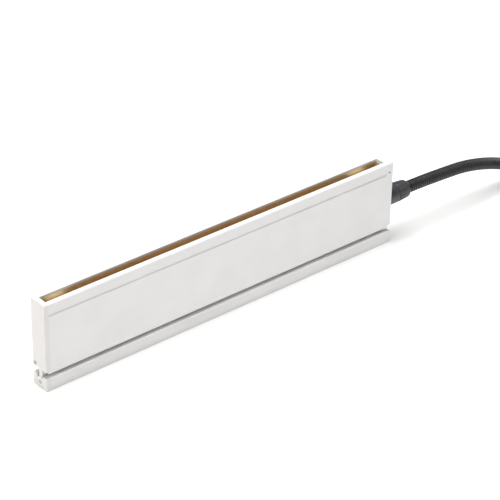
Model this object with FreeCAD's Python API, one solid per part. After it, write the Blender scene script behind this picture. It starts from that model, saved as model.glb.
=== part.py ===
"""Slim heat lamp: a bright quartz tube in a long aluminium housing that tilts on a mounting rail.

Millimetres. X runs along the lamp towards the cable gland, Y from the front face to the rear face,
and Z up from the face of the rail that is bolted to a shelf. The origin is the middle of that face.
"""

import math
import os

import FreeCAD
import Part

# ---- driving sizes: overall -------------------------------------------------------------------
LENGTH = 500.0  # over both end plates, and over both rail caps
DEPTH = 24.0  # front face to rear face, housing and rail alike
HEIGHT = 108.0  # rail underside to the rim of the slot

# ---- mounting rail ----------------------------------------------------------------------------
RAIL_HEIGHT = 15.5
RAIL_EDGE_R = 1.0
RAIL_CAP_T = 6.0
AXIS_HEIGHT = 7.2  # tilt axis above the shelf face
TILT_DEG = 15.0  # each way
TILT_SPARE_DEG = 3.0  # how much further the rail's mouth opens
SHELF_BOLT_SPACING = 360.0
SHELF_BOLT_ROW = 17.0  # between the front and the rear row
SHELF_BOLT_TAP_R = 1.65  # M4 tapping size
SHELF_BOLT_DEPTH = 9.0
LOCK_SCREW_SPACING = 300.0
LOCK_SCREW_R = 2.0
LOCK_SCREW_SUNK = 0.4  # its outer end below the rail's rear face
LOCK_SOCKET_R = 1.0
LOCK_SOCKET_DEPTH = 2.0
LINER_T = 1.0
LINER_LEFT_T = 0.5  # liner left under a tilt-lock screw
CAP_PEG_R = 1.3
CAP_PEG_LENGTH = 8.0
CAP_PEG_HEIGHT = 12.6
CAP_PEG_IN = 2.9  # from the front or rear face
WASHER_R = 6.0
WASHER_T = 0.9
WASHER_SEAT_LEFT = 1.3  # counterbore floor past the left cap's outer face
WASHER_SEAT_RIGHT = 3.4  # the same for the right cap
BEAD_SCREW_R = 1.5
BEAD_SCREW_HEAD_R = 2.7
BEAD_SCREW_HEAD_T = 0.25
BEAD_SCREW_LENGTH = 11.0
BEAD_HOLE_DEPTH = 14.0

# ---- housing ----------------------------------------------------------------------------------
TILT_GAP = 2.5  # between the rail's top and the housing's underside
KEEL_R = 6.5  # round of the housing's lower edges
RIM_R = 2.6  # round of the rim's outer edges
WALL = 2.5
FLOOR = 4.5  # under the wiring space
WEB = 2.0  # between the wiring space and the lamp trough
WEB_HEIGHT = 70.0  # top of the web
SLOT_WIDTH = 12.0
LIP_T = 3.0
LIP_EDGE_R = 0.8
NECK_W = 5.6
BEAD_R = 4.7
GROOVE_W = 3.7
GROOVE_T = 1.1
GROOVE_BELOW_RIM = 12.5
PLATE_LEFT_T = 6.0
PLATE_RIGHT_T = 10.0
PLATE_BOTTOM = 24.2  # above the shelf face
KEEL_PAST_BODY = 5.5  # how far the housing's keel runs on under the right plate
TONGUE_LENGTH = 4.0
PLATE_SCREW_IN = 4.4  # from the rear face
PLATE_SCREW_UP = 3.6  # above the plate's lower edge
PORT_R = 3.0
PORT_DEPTH = 16.0
PLATE_SCREW_R = 1.5
PLATE_SCREW_HEAD_R = 2.8
LEFT_SCREW_LENGTH = 16.0
RIGHT_SCREW_LENGTH = 20.0
RIGHT_TONGUE_H = 20.0
EARTH_TEST_R = 1.5
EARTH_TEST_DEPTH = 6.0
FLOOR_SCREW_R = 1.5
FLOOR_HOLE_DEPTH = 3.5

# ---- lamp -------------------------------------------------------------------------------------
LAMP_DEPTH = 18.0  # tube axis below the rim
TUBE_R = 5.0
TUBE_WALL = 1.0
LAMP_END_GAP = 14.0  # from a ceramic cap to the end plate
CERAMIC_LENGTH = 24.0
CERAMIC_W = 12.0
CERAMIC_HOLD = 8.0  # how far the tube reaches into a cap
COIL_PITCH = 6.8
COIL_R = 3.3
COIL_WIRE_R = 0.35
COIL_BATCH = 20  # turns in one stretch of its path
REFLECTOR_HALF = 8.0
REFLECTOR_T = 0.5
REFLECTOR_BELOW_TUBE = 13.0
FLANGE_W = 0.7
BED_SIDE_H = 12.0
CLIP_T = 0.8
CLIP_LENGTH = 12.0
CLIP_GRIP = 9.0
CLIP_FOOT_W = 10.0
CLIP_RISER_W = 8.0
HOLDER_SCREW_R = 1.5
HOLDER_SCREW_HEAD_R = 2.5
HOLDER_SCREW_STEP = 7.2  # between a holder's two screws
PAN_HEAD_H = 1.8
LEAD_R = 1.3
LEAD_HOLE_PAST_CAP = 7.0  # from a ceramic cap to its lead's hole in the web
LEAD_BEND = 4.0  # how far before a corner a wire starts to bend
GROMMET_R = 3.0

# ---- wiring and gland -------------------------------------------------------------------------
GLAND_HEIGHT = 56.0
GLAND_BASE_R = 12.0
GLAND_BASE_LENGTH = 16.0
GLAND_BASE_ROUND = 2.4
GLAND_SPIGOT_R = 9.0
GLAND_SPIGOT_LENGTH = 9.0
GLAND_COLLAR_R = 9.8
GLAND_COLLAR_LENGTH = 9.0
GLAND_BORE_R = 4.6
GLAND_SHOULDER = 1.0  # floor of the conduit's socket, short of the end plate's face
NUT_R = 12.0
NUT_LENGTH = 18.0
NUT_RIBS = 14
NUT_RIB_R = 1.0
CONDUIT_R = 7.5
CORE_R = 1.1
CORE_LANE = 4.4  # between the terminal block's ways
CORE_SPREAD = 2.5  # between the cores where they pass the gland
CORE_SAG = 2.0  # the cores below the gland's axis
BLOCK_L = 32.0
BLOCK_W = 14.0
BLOCK_H = 12.0
BLOCK_FOOT_W = 8.0
BLOCK_FOOT_H = 9.0
BLOCK_WIRE_H = 5.4  # wire holes above the foot
BLOCK_WIRE_DEPTH = 9.0
BLOCK_SCREW_SEAT = 2.0  # the fixing screw's head above the foot
BLOCK_FROM_PLATE = 62.0
TERMINAL_SCREW_R = 1.2
TERMINAL_SCREW_IN = 5.0
EARTH_FROM_BLOCK = 13.0
EARTH_TAG_R = 3.6
EARTH_TAG_T = 0.8

# ---- named clearances -------------------------------------------------------------------------
RUNNING = 0.08  # radial, bead in liner
PRESS = 0.02  # a spigot screwed into its hole
SLIP = 0.1  # between pieces that are put together by hand
FREE = 0.3  # between pieces that never touch

# ---- worked out from the sizes above ----------------------------------------------------------
X_LEFT = -LENGTH / 2
X_RIGHT = LENGTH / 2
BODY_LEFT = X_LEFT + PLATE_LEFT_T
BODY_RIGHT = X_RIGHT - PLATE_RIGHT_T
HALF = DEPTH / 2
INNER = HALF - WALL
UNDERSIDE = RAIL_HEIGHT + TILT_GAP
CHAMBER_LOW = UNDERSIDE + FLOOR
CHAMBER_TOP = WEB_HEIGHT - WEB
LIP_LOW = HEIGHT - LIP_T
LINER_R = BEAD_R + RUNNING
LINER_OUTER_R = LINER_R + LINER_T
TUBE_Z = HEIGHT - LAMP_DEPTH
LAMP_LEFT = BODY_LEFT + LAMP_END_GAP
LAMP_RIGHT = BODY_RIGHT - LAMP_END_GAP
REFLECTOR_Z = TUBE_Z - REFLECTOR_BELOW_TUBE + REFLECTOR_HALF
REFLECTOR_TOP = LIP_LOW - FREE
REFLECTOR_OUTER = REFLECTOR_HALF + REFLECTOR_T
CERAMIC_Z = TUBE_Z - CERAMIC_W / 2
BLOCK_X = BODY_RIGHT - BLOCK_FROM_PLATE
GLAND_FACE = X_RIGHT + GLAND_BASE_LENGTH
CONDUIT_START = X_RIGHT - GLAND_SHOULDER

# ---- conduit: the stretch that isn't coiled, then its coil --------------------------------------
COIL_LOOP_R = 84.0  # middle of the outer turn
COIL_NEST_RISE = math.sqrt(3) * CONDUIT_R  # from the lower layer up to the turn that nests on it
COIL_LOW_DEG = 660.0  # turned through on the surface before the upper turn starts
COIL_END_DEG = 980.0
TIE_T = 0.8
TIE_W = 9.0
TIE_ANGLES = (45.0, -75.0)
COIL_REST = TIE_T + SLIP  # the coil lies on its ties
COIL_Z = COIL_REST + CONDUIT_R
# Each point is (how far past the socket's floor, height above the shelf face).
CONDUIT_ROUTE = [
    (0.0, GLAND_HEIGHT),
    (51.0, GLAND_HEIGHT),
    (96.0, 53.9),
    (136.0, 51.4),
    (179.0, 41.0),
    (219.0, 25.0),
    (261.0, COIL_Z),
    (318.0, COIL_Z),
]
BEND_SHARE = 0.45  # of the shorter run beside a corner

# ---- connector on the conduit's end -------------------------------------------------------------
TAIL_LENGTH = 26.0
PLUG_R = 12.0
PLUG_LENGTH = 48.0
PLUG_GRIP_SHARE = 0.62  # of its length that is the thick grip
PLUG_COLLAR_R = 10.4
PLUG_COLLAR_BORE_R = 8.6
PLUG_NUT_R = 11.2
PLUG_NUT_LENGTH = 17.0
PLUG_NUT_RIBS = 16
PIN_R = 1.6
PIN_LENGTH = 8.0
PIN_CIRCLE_R = 4.4
PIN_SHORT = 1.0  # pins end this far inside the collar
TAIL_Z = COIL_REST + 2 * CONDUIT_R + PLUG_R + FREE

ORIGIN = FreeCAD.Vector(0, 0, 0)
ALONG_X = FreeCAD.Vector(1, 0, 0)
ALONG_Y = FreeCAD.Vector(0, 1, 0)
ALONG_Z = FreeCAD.Vector(0, 0, 1)


def vec(x, y, z):
    """A point."""
    return FreeCAD.Vector(x, y, z)


def box(x0, x1, y0, y1, z0, z1):
    """A block between two corners."""
    return Part.makeBox(x1 - x0, y1 - y0, z1 - z0, vec(x0, y0, z0))


def rod_x(x0, x1, radius, y=0.0, z=0.0):
    """A round bar along X."""
    return Part.makeCylinder(radius, x1 - x0, vec(x0, y, z), ALONG_X)


def rod_z(z0, z1, radius, x=0.0, y=0.0):
    """A round bar along Z."""
    return Part.makeCylinder(radius, z1 - z0, vec(x, y, z0), ALONG_Z)


def extrude_x(points, x0, x1):
    """A bar whose section is the closed outline of (y, z) points."""
    corners = [vec(x0, y, z) for y, z in points]
    face = Part.Face(Part.makePolygon(corners + corners[:1]))
    return face.extrude(vec(x1 - x0, 0, 0))


def rounded_bar(x0, x1, half, low, high, low_r, high_r):
    """A bar along X with rounded lower and upper edges; a radius of 0 leaves them sharp."""
    bar = box(x0, x1, -half, half, low, high)
    for height, radius in ((low, low_r), (high, high_r)):
        if radius <= 0:
            continue
        edges = [e for e in bar.Edges if is_long_edge(e, half, height)]
        bar = bar.makeFillet(radius, edges)
    return bar


def is_long_edge(edge, half, height):
    """Whether an edge runs along X at one of the bar's corners."""
    middle = edge.CenterOfMass
    on_side = abs(abs(middle.y) - half) < 0.01
    runs_along = edge.BoundBox.YLength < 0.01 and edge.BoundBox.ZLength < 0.01
    return on_side and runs_along and abs(middle.z - height) < 0.01


def turned(profile, x0, y=0.0, z=0.0):
    """A turned part along X from (distance, radius) points."""
    points = [vec(x0 + d, y, z + r) for d, r in profile]
    face = Part.Face(Part.makePolygon(points + points[:1]))
    return face.revolve(vec(x0, y, z), ALONG_X, 360)


def countersunk(x_face, direction, y, z, thread_r, head_r, length):
    """A countersunk screw whose flat head is at x_face; direction is the way it points along X."""
    head_h = head_r - thread_r
    cone = Part.makeCone(head_r, thread_r, head_h, vec(x_face, y, z), vec(direction, 0, 0))
    shank = Part.makeCylinder(thread_r, length - head_h, vec(x_face + direction * head_h, y, z),
                              vec(direction, 0, 0))
    recess = Part.makeCylinder(thread_r * 0.7, head_h * 0.7, vec(x_face, y, z), vec(direction, 0, 0))
    return cone.fuse(shank).cut(recess).removeSplitter()


def pan_screw_z(x, y, z_seat, thread_r, head_r, head_h, length):
    """A pan-head screw that points down, with its head on z_seat."""
    head = rod_z(z_seat, z_seat + head_h, head_r, x, y)
    shank = rod_z(z_seat - length, z_seat, thread_r, x, y)
    recess = rod_z(z_seat + head_h * 0.5, z_seat + head_h, thread_r * 0.6, x, y)
    return head.fuse(shank).cut(recess).removeSplitter()


def bent_tube(points, radius, largest=math.inf):
    """A round bar along straight runs joined by tangent arcs.

    An arc starts BEND_SHARE of the shorter run before its corner, or `largest` if that is less.
    Gives the solid, its length and its arcs' radii.
    """
    edges = []
    radii = []
    start = points[0]
    for before, corner, after in zip(points, points[1:], points[2:]):
        run_in = corner - before
        run_out = after - corner
        turn = run_in.getAngle(run_out)
        set_back = min(BEND_SHARE * min(run_in.Length, run_out.Length), largest)
        radius_here = set_back / math.tan(turn / 2)
        way_in = run_in.normalize()
        way_out = run_out.normalize()
        first = corner - way_in * set_back
        last = corner + way_out * set_back
        inwards = (way_out - way_in).normalize()
        middle = corner + inwards * radius_here * (1 / math.cos(turn / 2) - 1)
        edges.append(Part.LineSegment(start, first).toShape())
        edges.append(Part.Arc(first, middle, last).toShape())
        radii.append(radius_here)
        start = last
    edges.append(Part.LineSegment(start, points[-1]).toShape())
    wire = Part.Wire(edges)
    way = (points[1] - points[0]).normalize()
    section = Part.Wire([Part.makeCircle(radius, points[0], way)])
    return wire.makePipeShell([section], True, False), wire.Length, radii


# ---- mounting rail ----------------------------------------------------------------------------
def mouth_outline():
    """The rail's mouth: the opening that the neck swings in, from the tilt axis up."""
    half_angle = math.radians(TILT_DEG + TILT_SPARE_DEG)
    low = NECK_W / 2 / math.cos(half_angle)
    rise = RAIL_HEIGHT + 1 - AXIS_HEIGHT
    top = low + rise * math.tan(half_angle)
    return [(-low, AXIS_HEIGHT), (low, AXIS_HEIGHT), (top, RAIL_HEIGHT + 1), (-top, RAIL_HEIGHT + 1)]


def rail_cap_x(side):
    """The inner and the outer end of a rail cap along X, lowest first."""
    if side < 0:
        return X_LEFT, X_LEFT + RAIL_CAP_T
    return X_RIGHT - RAIL_CAP_T, X_RIGHT


def peg_places():
    """Where the caps' pegs go in the rail, as (y, z)."""
    return [(-HALF + CAP_PEG_IN, CAP_PEG_HEIGHT), (HALF - CAP_PEG_IN, CAP_PEG_HEIGHT)]


def shelf_bolt_places():
    """Where the shelf's screws go in the rail, as (x, y)."""
    return [
        (sx * SHELF_BOLT_SPACING / 2, sy * SHELF_BOLT_ROW / 2)
        for sx in (-1, 1)
        for sy in (-1, 1)
    ]


def lock_screw_places():
    """Where the tilt-lock screws are along X."""
    return [-LOCK_SCREW_SPACING / 2, LOCK_SCREW_SPACING / 2]


def make_rail():
    """The extruded rail with the round channel that the housing's bead turns in."""
    x0 = rail_cap_x(-1)[1]
    x1 = rail_cap_x(1)[0]
    rail = rounded_bar(x0, x1, HALF, 0, RAIL_HEIGHT, RAIL_EDGE_R, RAIL_EDGE_R)
    rail = rail.cut(rod_x(x0 - 1, x1 + 1, LINER_OUTER_R + SLIP, 0, AXIS_HEIGHT))
    rail = rail.cut(extrude_x(mouth_outline(), x0 - 1, x1 + 1))
    for y, z in peg_places():
        for x_end in (x0 - 1, x1 - CAP_PEG_LENGTH - 1):
            rail = rail.cut(rod_x(x_end, x_end + CAP_PEG_LENGTH + 2, CAP_PEG_R + SLIP, y, z))
    for x, y in shelf_bolt_places():
        rail = rail.cut(rod_z(-1, SHELF_BOLT_DEPTH, SHELF_BOLT_TAP_R, x, y))
    for x in lock_screw_places():
        hole = Part.makeCylinder(LOCK_SCREW_R, HALF, vec(x, LINER_R, AXIS_HEIGHT), ALONG_Y)
        rail = rail.cut(hole)
    return rail


def make_liner():
    """The nylon liner between the rail's channel and the bead, open where the neck passes."""
    x0 = rail_cap_x(-1)[1] + SLIP
    x1 = rail_cap_x(1)[0] - SLIP
    liner = rod_x(x0, x1, LINER_OUTER_R, 0, AXIS_HEIGHT)
    liner = liner.cut(rod_x(x0 - 1, x1 + 1, LINER_R, 0, AXIS_HEIGHT))
    liner = liner.cut(extrude_x(mouth_outline(), x0 - 1, x1 + 1))
    for x in lock_screw_places():
        pad_hole = Part.makeCylinder(LOCK_SCREW_R, HALF, vec(x, LINER_R + LINER_LEFT_T, AXIS_HEIGHT), ALONG_Y)
        liner = liner.cut(pad_hole)
    return liner


def washer_seat(side):
    """The face of a rail cap's counterbore that the bead's washer runs on."""
    inner, outer = rail_cap_x(side)
    if side < 0:
        return inner + WASHER_SEAT_LEFT
    return outer - WASHER_SEAT_RIGHT


def bead_end(side):
    """Where the bead ends along X, just short of the washer's seat."""
    return washer_seat(side) + side * SLIP


def make_rail_cap(side):
    """A rail cap with a keyhole for the neck and the bead, a counterbore and two pegs."""
    x0, x1 = rail_cap_x(side)
    cap = rounded_bar(x0, x1, HALF, 0, RAIL_HEIGHT, RAIL_EDGE_R, RAIL_EDGE_R)
    cap = cap.cut(rod_x(x0 - 1, x1 + 1, BEAD_R + FREE, 0, AXIS_HEIGHT))
    cap = cap.cut(extrude_x(mouth_outline(), x0 - 1, x1 + 1))
    seat = washer_seat(side)
    low, high = (x0 - 1, seat) if side < 0 else (seat, x1 + 1)
    cap = cap.cut(rod_x(low, high, WASHER_R + FREE, 0, AXIS_HEIGHT))
    for y, z in peg_places():
        reach = CAP_PEG_LENGTH - SLIP * 2
        start = x1 if side < 0 else x0 - reach
        cap = cap.fuse(rod_x(start, start + reach, CAP_PEG_R, y, z))
    return cap.removeSplitter()


def make_bead_washers():
    """The washers on the bead's ends, which keep the lamp from sliding out of the rail."""
    pieces = []
    for side in (-1, 1):
        near = bead_end(side)
        x0 = near - WASHER_T if side < 0 else near
        washer = rod_x(x0, x0 + WASHER_T, WASHER_R, 0, AXIS_HEIGHT)
        hole = rod_x(x0 - 1, x0 + WASHER_T + 1, BEAD_SCREW_R + SLIP, 0, AXIS_HEIGHT)
        pieces.append(washer.cut(hole))
    return Part.makeCompound(pieces)


def make_bead_screws():
    """The screws that hold the washers, tapped into the bead's core hole."""
    pieces = []
    for side in (-1, 1):
        face = bead_end(side) + side * WASHER_T
        y, z = 0.0, AXIS_HEIGHT
        way = vec(-side, 0, 0)
        top = face + side * BEAD_SCREW_HEAD_T
        head = Part.makeCylinder(BEAD_SCREW_HEAD_R, BEAD_SCREW_HEAD_T, vec(top, y, z), way)
        shank = Part.makeCylinder(BEAD_SCREW_R, BEAD_SCREW_LENGTH, vec(face, y, z), way)
        pieces.append(head.fuse(shank).removeSplitter())
    return Part.makeCompound(pieces)


def make_lock_screws():
    """The grub screws in the rail's rear side that set how firmly the lamp holds its tilt."""
    pieces = []
    for x in lock_screw_places():
        start = LINER_R + LINER_LEFT_T + SLIP
        length = HALF - start - LOCK_SCREW_SUNK
        screw = Part.makeCylinder(LOCK_SCREW_R - SLIP, length, vec(x, start, AXIS_HEIGHT), ALONG_Y)
        socket_y = start + length - LOCK_SOCKET_DEPTH
        socket = Part.makeCylinder(LOCK_SOCKET_R, LOCK_SOCKET_DEPTH, vec(x, socket_y, AXIS_HEIGHT), ALONG_Y)
        pieces.append(screw.cut(socket))
    return Part.makeCompound(pieces)


# ---- housing ----------------------------------------------------------------------------------
def rear_port():
    """The screw port's centre in the wiring space, as (y, z)."""
    return HALF - PLATE_SCREW_IN, PLATE_BOTTOM + PLATE_SCREW_UP


def make_body():
    """The housing's one-piece extrusion: trough, wiring space, neck and bead."""
    keel_right = BODY_RIGHT + KEEL_PAST_BODY
    body = rounded_bar(BODY_LEFT, keel_right, HALF, UNDERSIDE, HEIGHT, KEEL_R, RIM_R)
    body = body.cut(box(BODY_RIGHT, keel_right + 1, -HALF - 1, HALF + 1, PLATE_BOTTOM - SLIP, HEIGHT + 1))
    x0, x1 = BODY_LEFT - 1, BODY_RIGHT + 1
    body = body.cut(box(x0, x1, -INNER, INNER, WEB_HEIGHT, LIP_LOW))
    body = body.cut(slot_cutter(x0, x1))
    chamber = rounded_bar(x0, x1, INNER, CHAMBER_LOW, CHAMBER_TOP, KEEL_R - WALL, 0.6)
    body = body.cut(chamber)
    port_y, port_z = rear_port()
    for y in (-port_y, port_y):
        port = rod_x(BODY_LEFT, BODY_RIGHT, PORT_R, y, port_z)
        body = body.fuse(port.common(box(x0, x1, -INNER - 0.5, INNER + 0.5, CHAMBER_LOW - 0.5, HEIGHT)))
    neck = box(bead_end(-1), bead_end(1), -NECK_W / 2, NECK_W / 2, AXIS_HEIGHT, UNDERSIDE + 0.5)
    body = body.fuse(neck).fuse(rod_x(bead_end(-1), bead_end(1), BEAD_R, 0, AXIS_HEIGHT))
    left_stub = box(X_LEFT + 1, BODY_LEFT, -NECK_W / 2, NECK_W / 2, UNDERSIDE - 2, PLATE_BOTTOM - SLIP)
    body = body.fuse(left_stub.common(box(bead_end(-1), BODY_LEFT, -HALF, HALF, 0, HEIGHT)))
    for side in (-1, 1):
        end = bead_end(side)
        low, high = sorted((end + side, end - side * BEAD_HOLE_DEPTH))
        body = body.cut(rod_x(low, high, BEAD_SCREW_R, 0, AXIS_HEIGHT))
    for y in (-port_y, port_y):
        for low, high in ((BODY_LEFT - 1, BODY_LEFT + PORT_DEPTH), (BODY_RIGHT - PORT_DEPTH, BODY_RIGHT + 1)):
            body = body.cut(rod_x(low, high, PLATE_SCREW_R, y, port_z))
    for side in (-1, 1):
        body = body.cut(groove_cutter(side, BODY_LEFT - 1, BODY_RIGHT + 1))
    for x, y in web_holes():
        body = body.cut(rod_z(CHAMBER_TOP - 1, WEB_HEIGHT + 1, GROMMET_R, x, y))
    for x in holder_screw_places():
        body = body.cut(rod_z(CHAMBER_TOP - 1, WEB_HEIGHT + 1, HOLDER_SCREW_R, x))
    for x in floor_screw_places():
        body = body.cut(rod_z(CHAMBER_LOW - FLOOR_HOLE_DEPTH, CHAMBER_LOW + 1, FLOOR_SCREW_R, x))
    return body.removeSplitter()


def slot_cutter(x0, x1):
    """The slot between the lips, with its upper edges rounded over."""
    half = SLOT_WIDTH / 2
    low = LIP_LOW - 0.5
    r = LIP_EDGE_R
    mid = r * (1 - math.cos(math.pi / 4))
    edges = [
        Part.LineSegment(vec(x0, -half, low), vec(x0, half, low)),
        Part.LineSegment(vec(x0, half, low), vec(x0, half, HEIGHT - r)),
        Part.Arc(vec(x0, half, HEIGHT - r), vec(x0, half + mid, HEIGHT - mid), vec(x0, half + r, HEIGHT)),
        Part.LineSegment(vec(x0, half + r, HEIGHT), vec(x0, -half - r, HEIGHT)),
        Part.Arc(vec(x0, -half - r, HEIGHT), vec(x0, -half - mid, HEIGHT - mid), vec(x0, -half, HEIGHT - r)),
        Part.LineSegment(vec(x0, -half, HEIGHT - r), vec(x0, -half, low)),
    ]
    wire = Part.Wire([e.toShape() for e in edges])
    return Part.Face(wire).extrude(vec(x1 - x0, 0, 0))


def groove_cutter(side, x0, x1):
    """The shallow line below the rim, on the front (-1) or the rear (1) face."""
    top = HEIGHT - GROOVE_BELOW_RIM
    y_out = side * (HALF + 1)
    y_in = side * (HALF - GROOVE_T)
    slope = GROOVE_T
    points = [
        (y_out, top + 1),
        (side * HALF, top),
        (y_in, top - slope * 0.4),
        (y_in, top - GROOVE_W + slope),
        (side * HALF, top - GROOVE_W),
        (y_out, top - GROOVE_W - 1),
    ]
    return extrude_x(points, x0, x1)


def plate_blank(x0, x1):
    """The outline shared by both end plates."""
    return rounded_bar(x0, x1, HALF, PLATE_BOTTOM, HEIGHT, 0, RIM_R)


def make_left_plate():
    """The plain end plate, with the tongue that locates it in the wiring space."""
    plate = plate_blank(X_LEFT, BODY_LEFT)
    tongue = box(BODY_LEFT, BODY_LEFT + TONGUE_LENGTH, -INNER + SLIP, INNER - SLIP,
                 rear_port()[1] + PORT_R + 1, CHAMBER_TOP - 1)
    plate = plate.fuse(tongue)
    port_y, port_z = rear_port()
    plate = plate.cut(screw_hole(X_LEFT, 1, port_y, port_z, PLATE_LEFT_T))
    return plate.removeSplitter()


def screw_hole(x_face, direction, y, z, depth):
    """The countersunk hole that a plate screw sits in."""
    way = vec(direction, 0, 0)
    head_r = PLATE_SCREW_HEAD_R + SLIP
    cone = Part.makeCone(head_r, PLATE_SCREW_R, head_r - PLATE_SCREW_R, vec(x_face, y, z), way)
    through = Part.makeCylinder(PLATE_SCREW_R + SLIP, depth + 2, vec(x_face - direction, y, z), way)
    return cone.fuse(through)


def make_right_plate():
    """The thicker end plate, which carries the gland."""
    plate = plate_blank(BODY_RIGHT, X_RIGHT)
    x0 = BODY_RIGHT - TONGUE_LENGTH
    tongue = box(x0, BODY_RIGHT, -INNER + SLIP, INNER - SLIP, CHAMBER_TOP - 1 - RIGHT_TONGUE_H,
                 CHAMBER_TOP - 1)
    plate = plate.fuse(tongue)
    plate = plate.cut(rod_x(x0 - 1, X_RIGHT - GLAND_SPIGOT_LENGTH, GLAND_BORE_R + 1.4, 0, GLAND_HEIGHT))
    spigot = rod_x(X_RIGHT - GLAND_SPIGOT_LENGTH - SLIP, X_RIGHT + 1, GLAND_SPIGOT_R, 0, GLAND_HEIGHT)
    plate = plate.cut(spigot)
    port_y, port_z = rear_port()
    for y in (-port_y, port_y):
        plate = plate.cut(screw_hole(X_RIGHT, -1, y, port_z, PLATE_RIGHT_T))
    x, z = bond_screw_place()
    plate = plate.cut(Part.makeCylinder(EARTH_TEST_R, EARTH_TEST_DEPTH + 1, vec(x, -HALF - 1, z), ALONG_Y))
    return plate.removeSplitter()


def bond_screw_place():
    """The earth-test screw in the right plate's front edge, level with the groove."""
    return X_RIGHT - PLATE_RIGHT_T / 2, HEIGHT - GROOVE_BELOW_RIM


def make_bond_screw():
    """The sunk grub screw in the right plate's front edge."""
    x, z = bond_screw_place()
    sunk = -HALF + 0.6
    screw = Part.makeCylinder(EARTH_TEST_R - SLIP / 2, EARTH_TEST_DEPTH - 1, vec(x, sunk, z), ALONG_Y)
    return screw.cut(Part.makeCylinder(EARTH_TEST_R / 2, 1.6, vec(x, sunk - SLIP, z), ALONG_Y))


def make_left_plate_screw():
    """The countersunk screw low on the left plate."""
    y, z = rear_port()
    return countersunk(X_LEFT, 1, y, z, PLATE_SCREW_R, PLATE_SCREW_HEAD_R, LEFT_SCREW_LENGTH)


def make_right_plate_screws():
    """The two countersunk screws of the right plate."""
    port_y, z = rear_port()
    screws = [
        countersunk(X_RIGHT, -1, y, z, PLATE_SCREW_R, PLATE_SCREW_HEAD_R, RIGHT_SCREW_LENGTH)
        for y in (-port_y, port_y)
    ]
    return Part.makeCompound(screws)


# ---- lamp trough ------------------------------------------------------------------------------
def trough_bar(x0, x1, half, low_z, top):
    """A U-bottomed bar: straight sides above low_z and a half round below it."""
    return box(x0, x1, -half, half, low_z, top).fuse(rod_x(x0, x1, half, 0, low_z))


def make_reflector():
    """The gold-faced reflector sheet, folded to a closed-ended trough with a flange under each lip."""
    x0, x1 = BODY_LEFT + FREE, BODY_RIGHT - FREE
    outer = trough_bar(x0, x1, REFLECTOR_OUTER, REFLECTOR_Z, REFLECTOR_TOP)
    flange_half = REFLECTOR_OUTER + FLANGE_W
    flange = box(x0, x1, -flange_half, flange_half, REFLECTOR_TOP - REFLECTOR_T, REFLECTOR_TOP)
    sheet = outer.fuse(flange)
    inside = trough_bar(x0 + REFLECTOR_T, x1 - REFLECTOR_T, REFLECTOR_HALF, REFLECTOR_Z, REFLECTOR_TOP + 1)
    sheet = sheet.cut(inside)
    for side in (-1, 1):
        x_low, x_high = end_opening(side)
        clear = CLIP_FOOT_W / 2 + 0.4
        sheet = sheet.cut(box(x_low, x_high, -clear, clear, WEB_HEIGHT, REFLECTOR_Z))
    return sheet.removeSplitter()


def end_opening(side):
    """The stretch of the reflector's floor that is cut away for a holder and a lead."""
    centre = holder_x(side)
    reach = CLIP_LENGTH / 2 + 1.0
    if side < 0:
        return BODY_LEFT - 1, centre + reach
    return centre - reach, BODY_RIGHT + 1


def make_bed():
    """The ceramic-fibre bed that the reflector lies in, between the two holders."""
    x0 = end_opening(-1)[1] + 1.0
    x1 = end_opening(1)[0] - 1.0
    top = WEB_HEIGHT + BED_SIDE_H
    bed = box(x0, x1, -INNER + SLIP, INNER - SLIP, WEB_HEIGHT, top)
    return bed.cut(trough_bar(x0 - 1, x1 + 1, REFLECTOR_OUTER, REFLECTOR_Z, REFLECTOR_TOP))


def holder_x(side):
    """The middle of a lamp holder along X."""
    if side < 0:
        return LAMP_LEFT + CERAMIC_LENGTH / 2
    return LAMP_RIGHT - CERAMIC_LENGTH / 2


def tube_ends():
    """Where the quartz tube starts and ends along X."""
    reach = CERAMIC_LENGTH - CERAMIC_HOLD
    return LAMP_LEFT + reach, LAMP_RIGHT - reach


def make_quartz_tube():
    """The clear quartz tube."""
    x0, x1 = tube_ends()
    tube = rod_x(x0, x1, TUBE_R, 0, TUBE_Z)
    return tube.cut(rod_x(x0 - 1, x1 + 1, TUBE_R - TUBE_WALL, 0, TUBE_Z))


def make_heating_coil():
    """The wire coil inside the quartz tube."""
    x0 = LAMP_LEFT + CERAMIC_LENGTH + 1.0
    x1 = LAMP_RIGHT - CERAMIC_LENGTH - 1.0
    turns = int((x1 - x0) / COIL_PITCH)
    edges = []
    done = 0
    while done < turns:
        count = min(COIL_BATCH, turns - done)
        stretch = Part.makeHelix(COIL_PITCH, count * COIL_PITCH, COIL_R)
        stretch.translate(vec(0, 0, done * COIL_PITCH))
        edges.extend(stretch.Edges)
        done += count
    way = vec(0, 2 * math.pi * COIL_R, COIL_PITCH).normalize()
    section = Part.Wire([Part.makeCircle(COIL_WIRE_R, vec(COIL_R, 0, 0), way)])
    coil = Part.Wire(edges).makePipeShell([section], True, True)
    coil.rotate(ORIGIN, ALONG_Y, 90)
    coil.translate(vec((x0 + x1 - turns * COIL_PITCH) / 2, 0, TUBE_Z))
    facts = (turns, coil.Volume, coil_volume(turns))
    print("heating coil: %d turns, volume %.0f, section x length %.0f" % facts)
    return coil


def coil_volume(turns):
    """What the heating coil's volume should be: its section times its wire's length."""
    per_turn = math.hypot(2 * math.pi * COIL_R, COIL_PITCH)
    return math.pi * COIL_WIRE_R ** 2 * per_turn * turns


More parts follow.
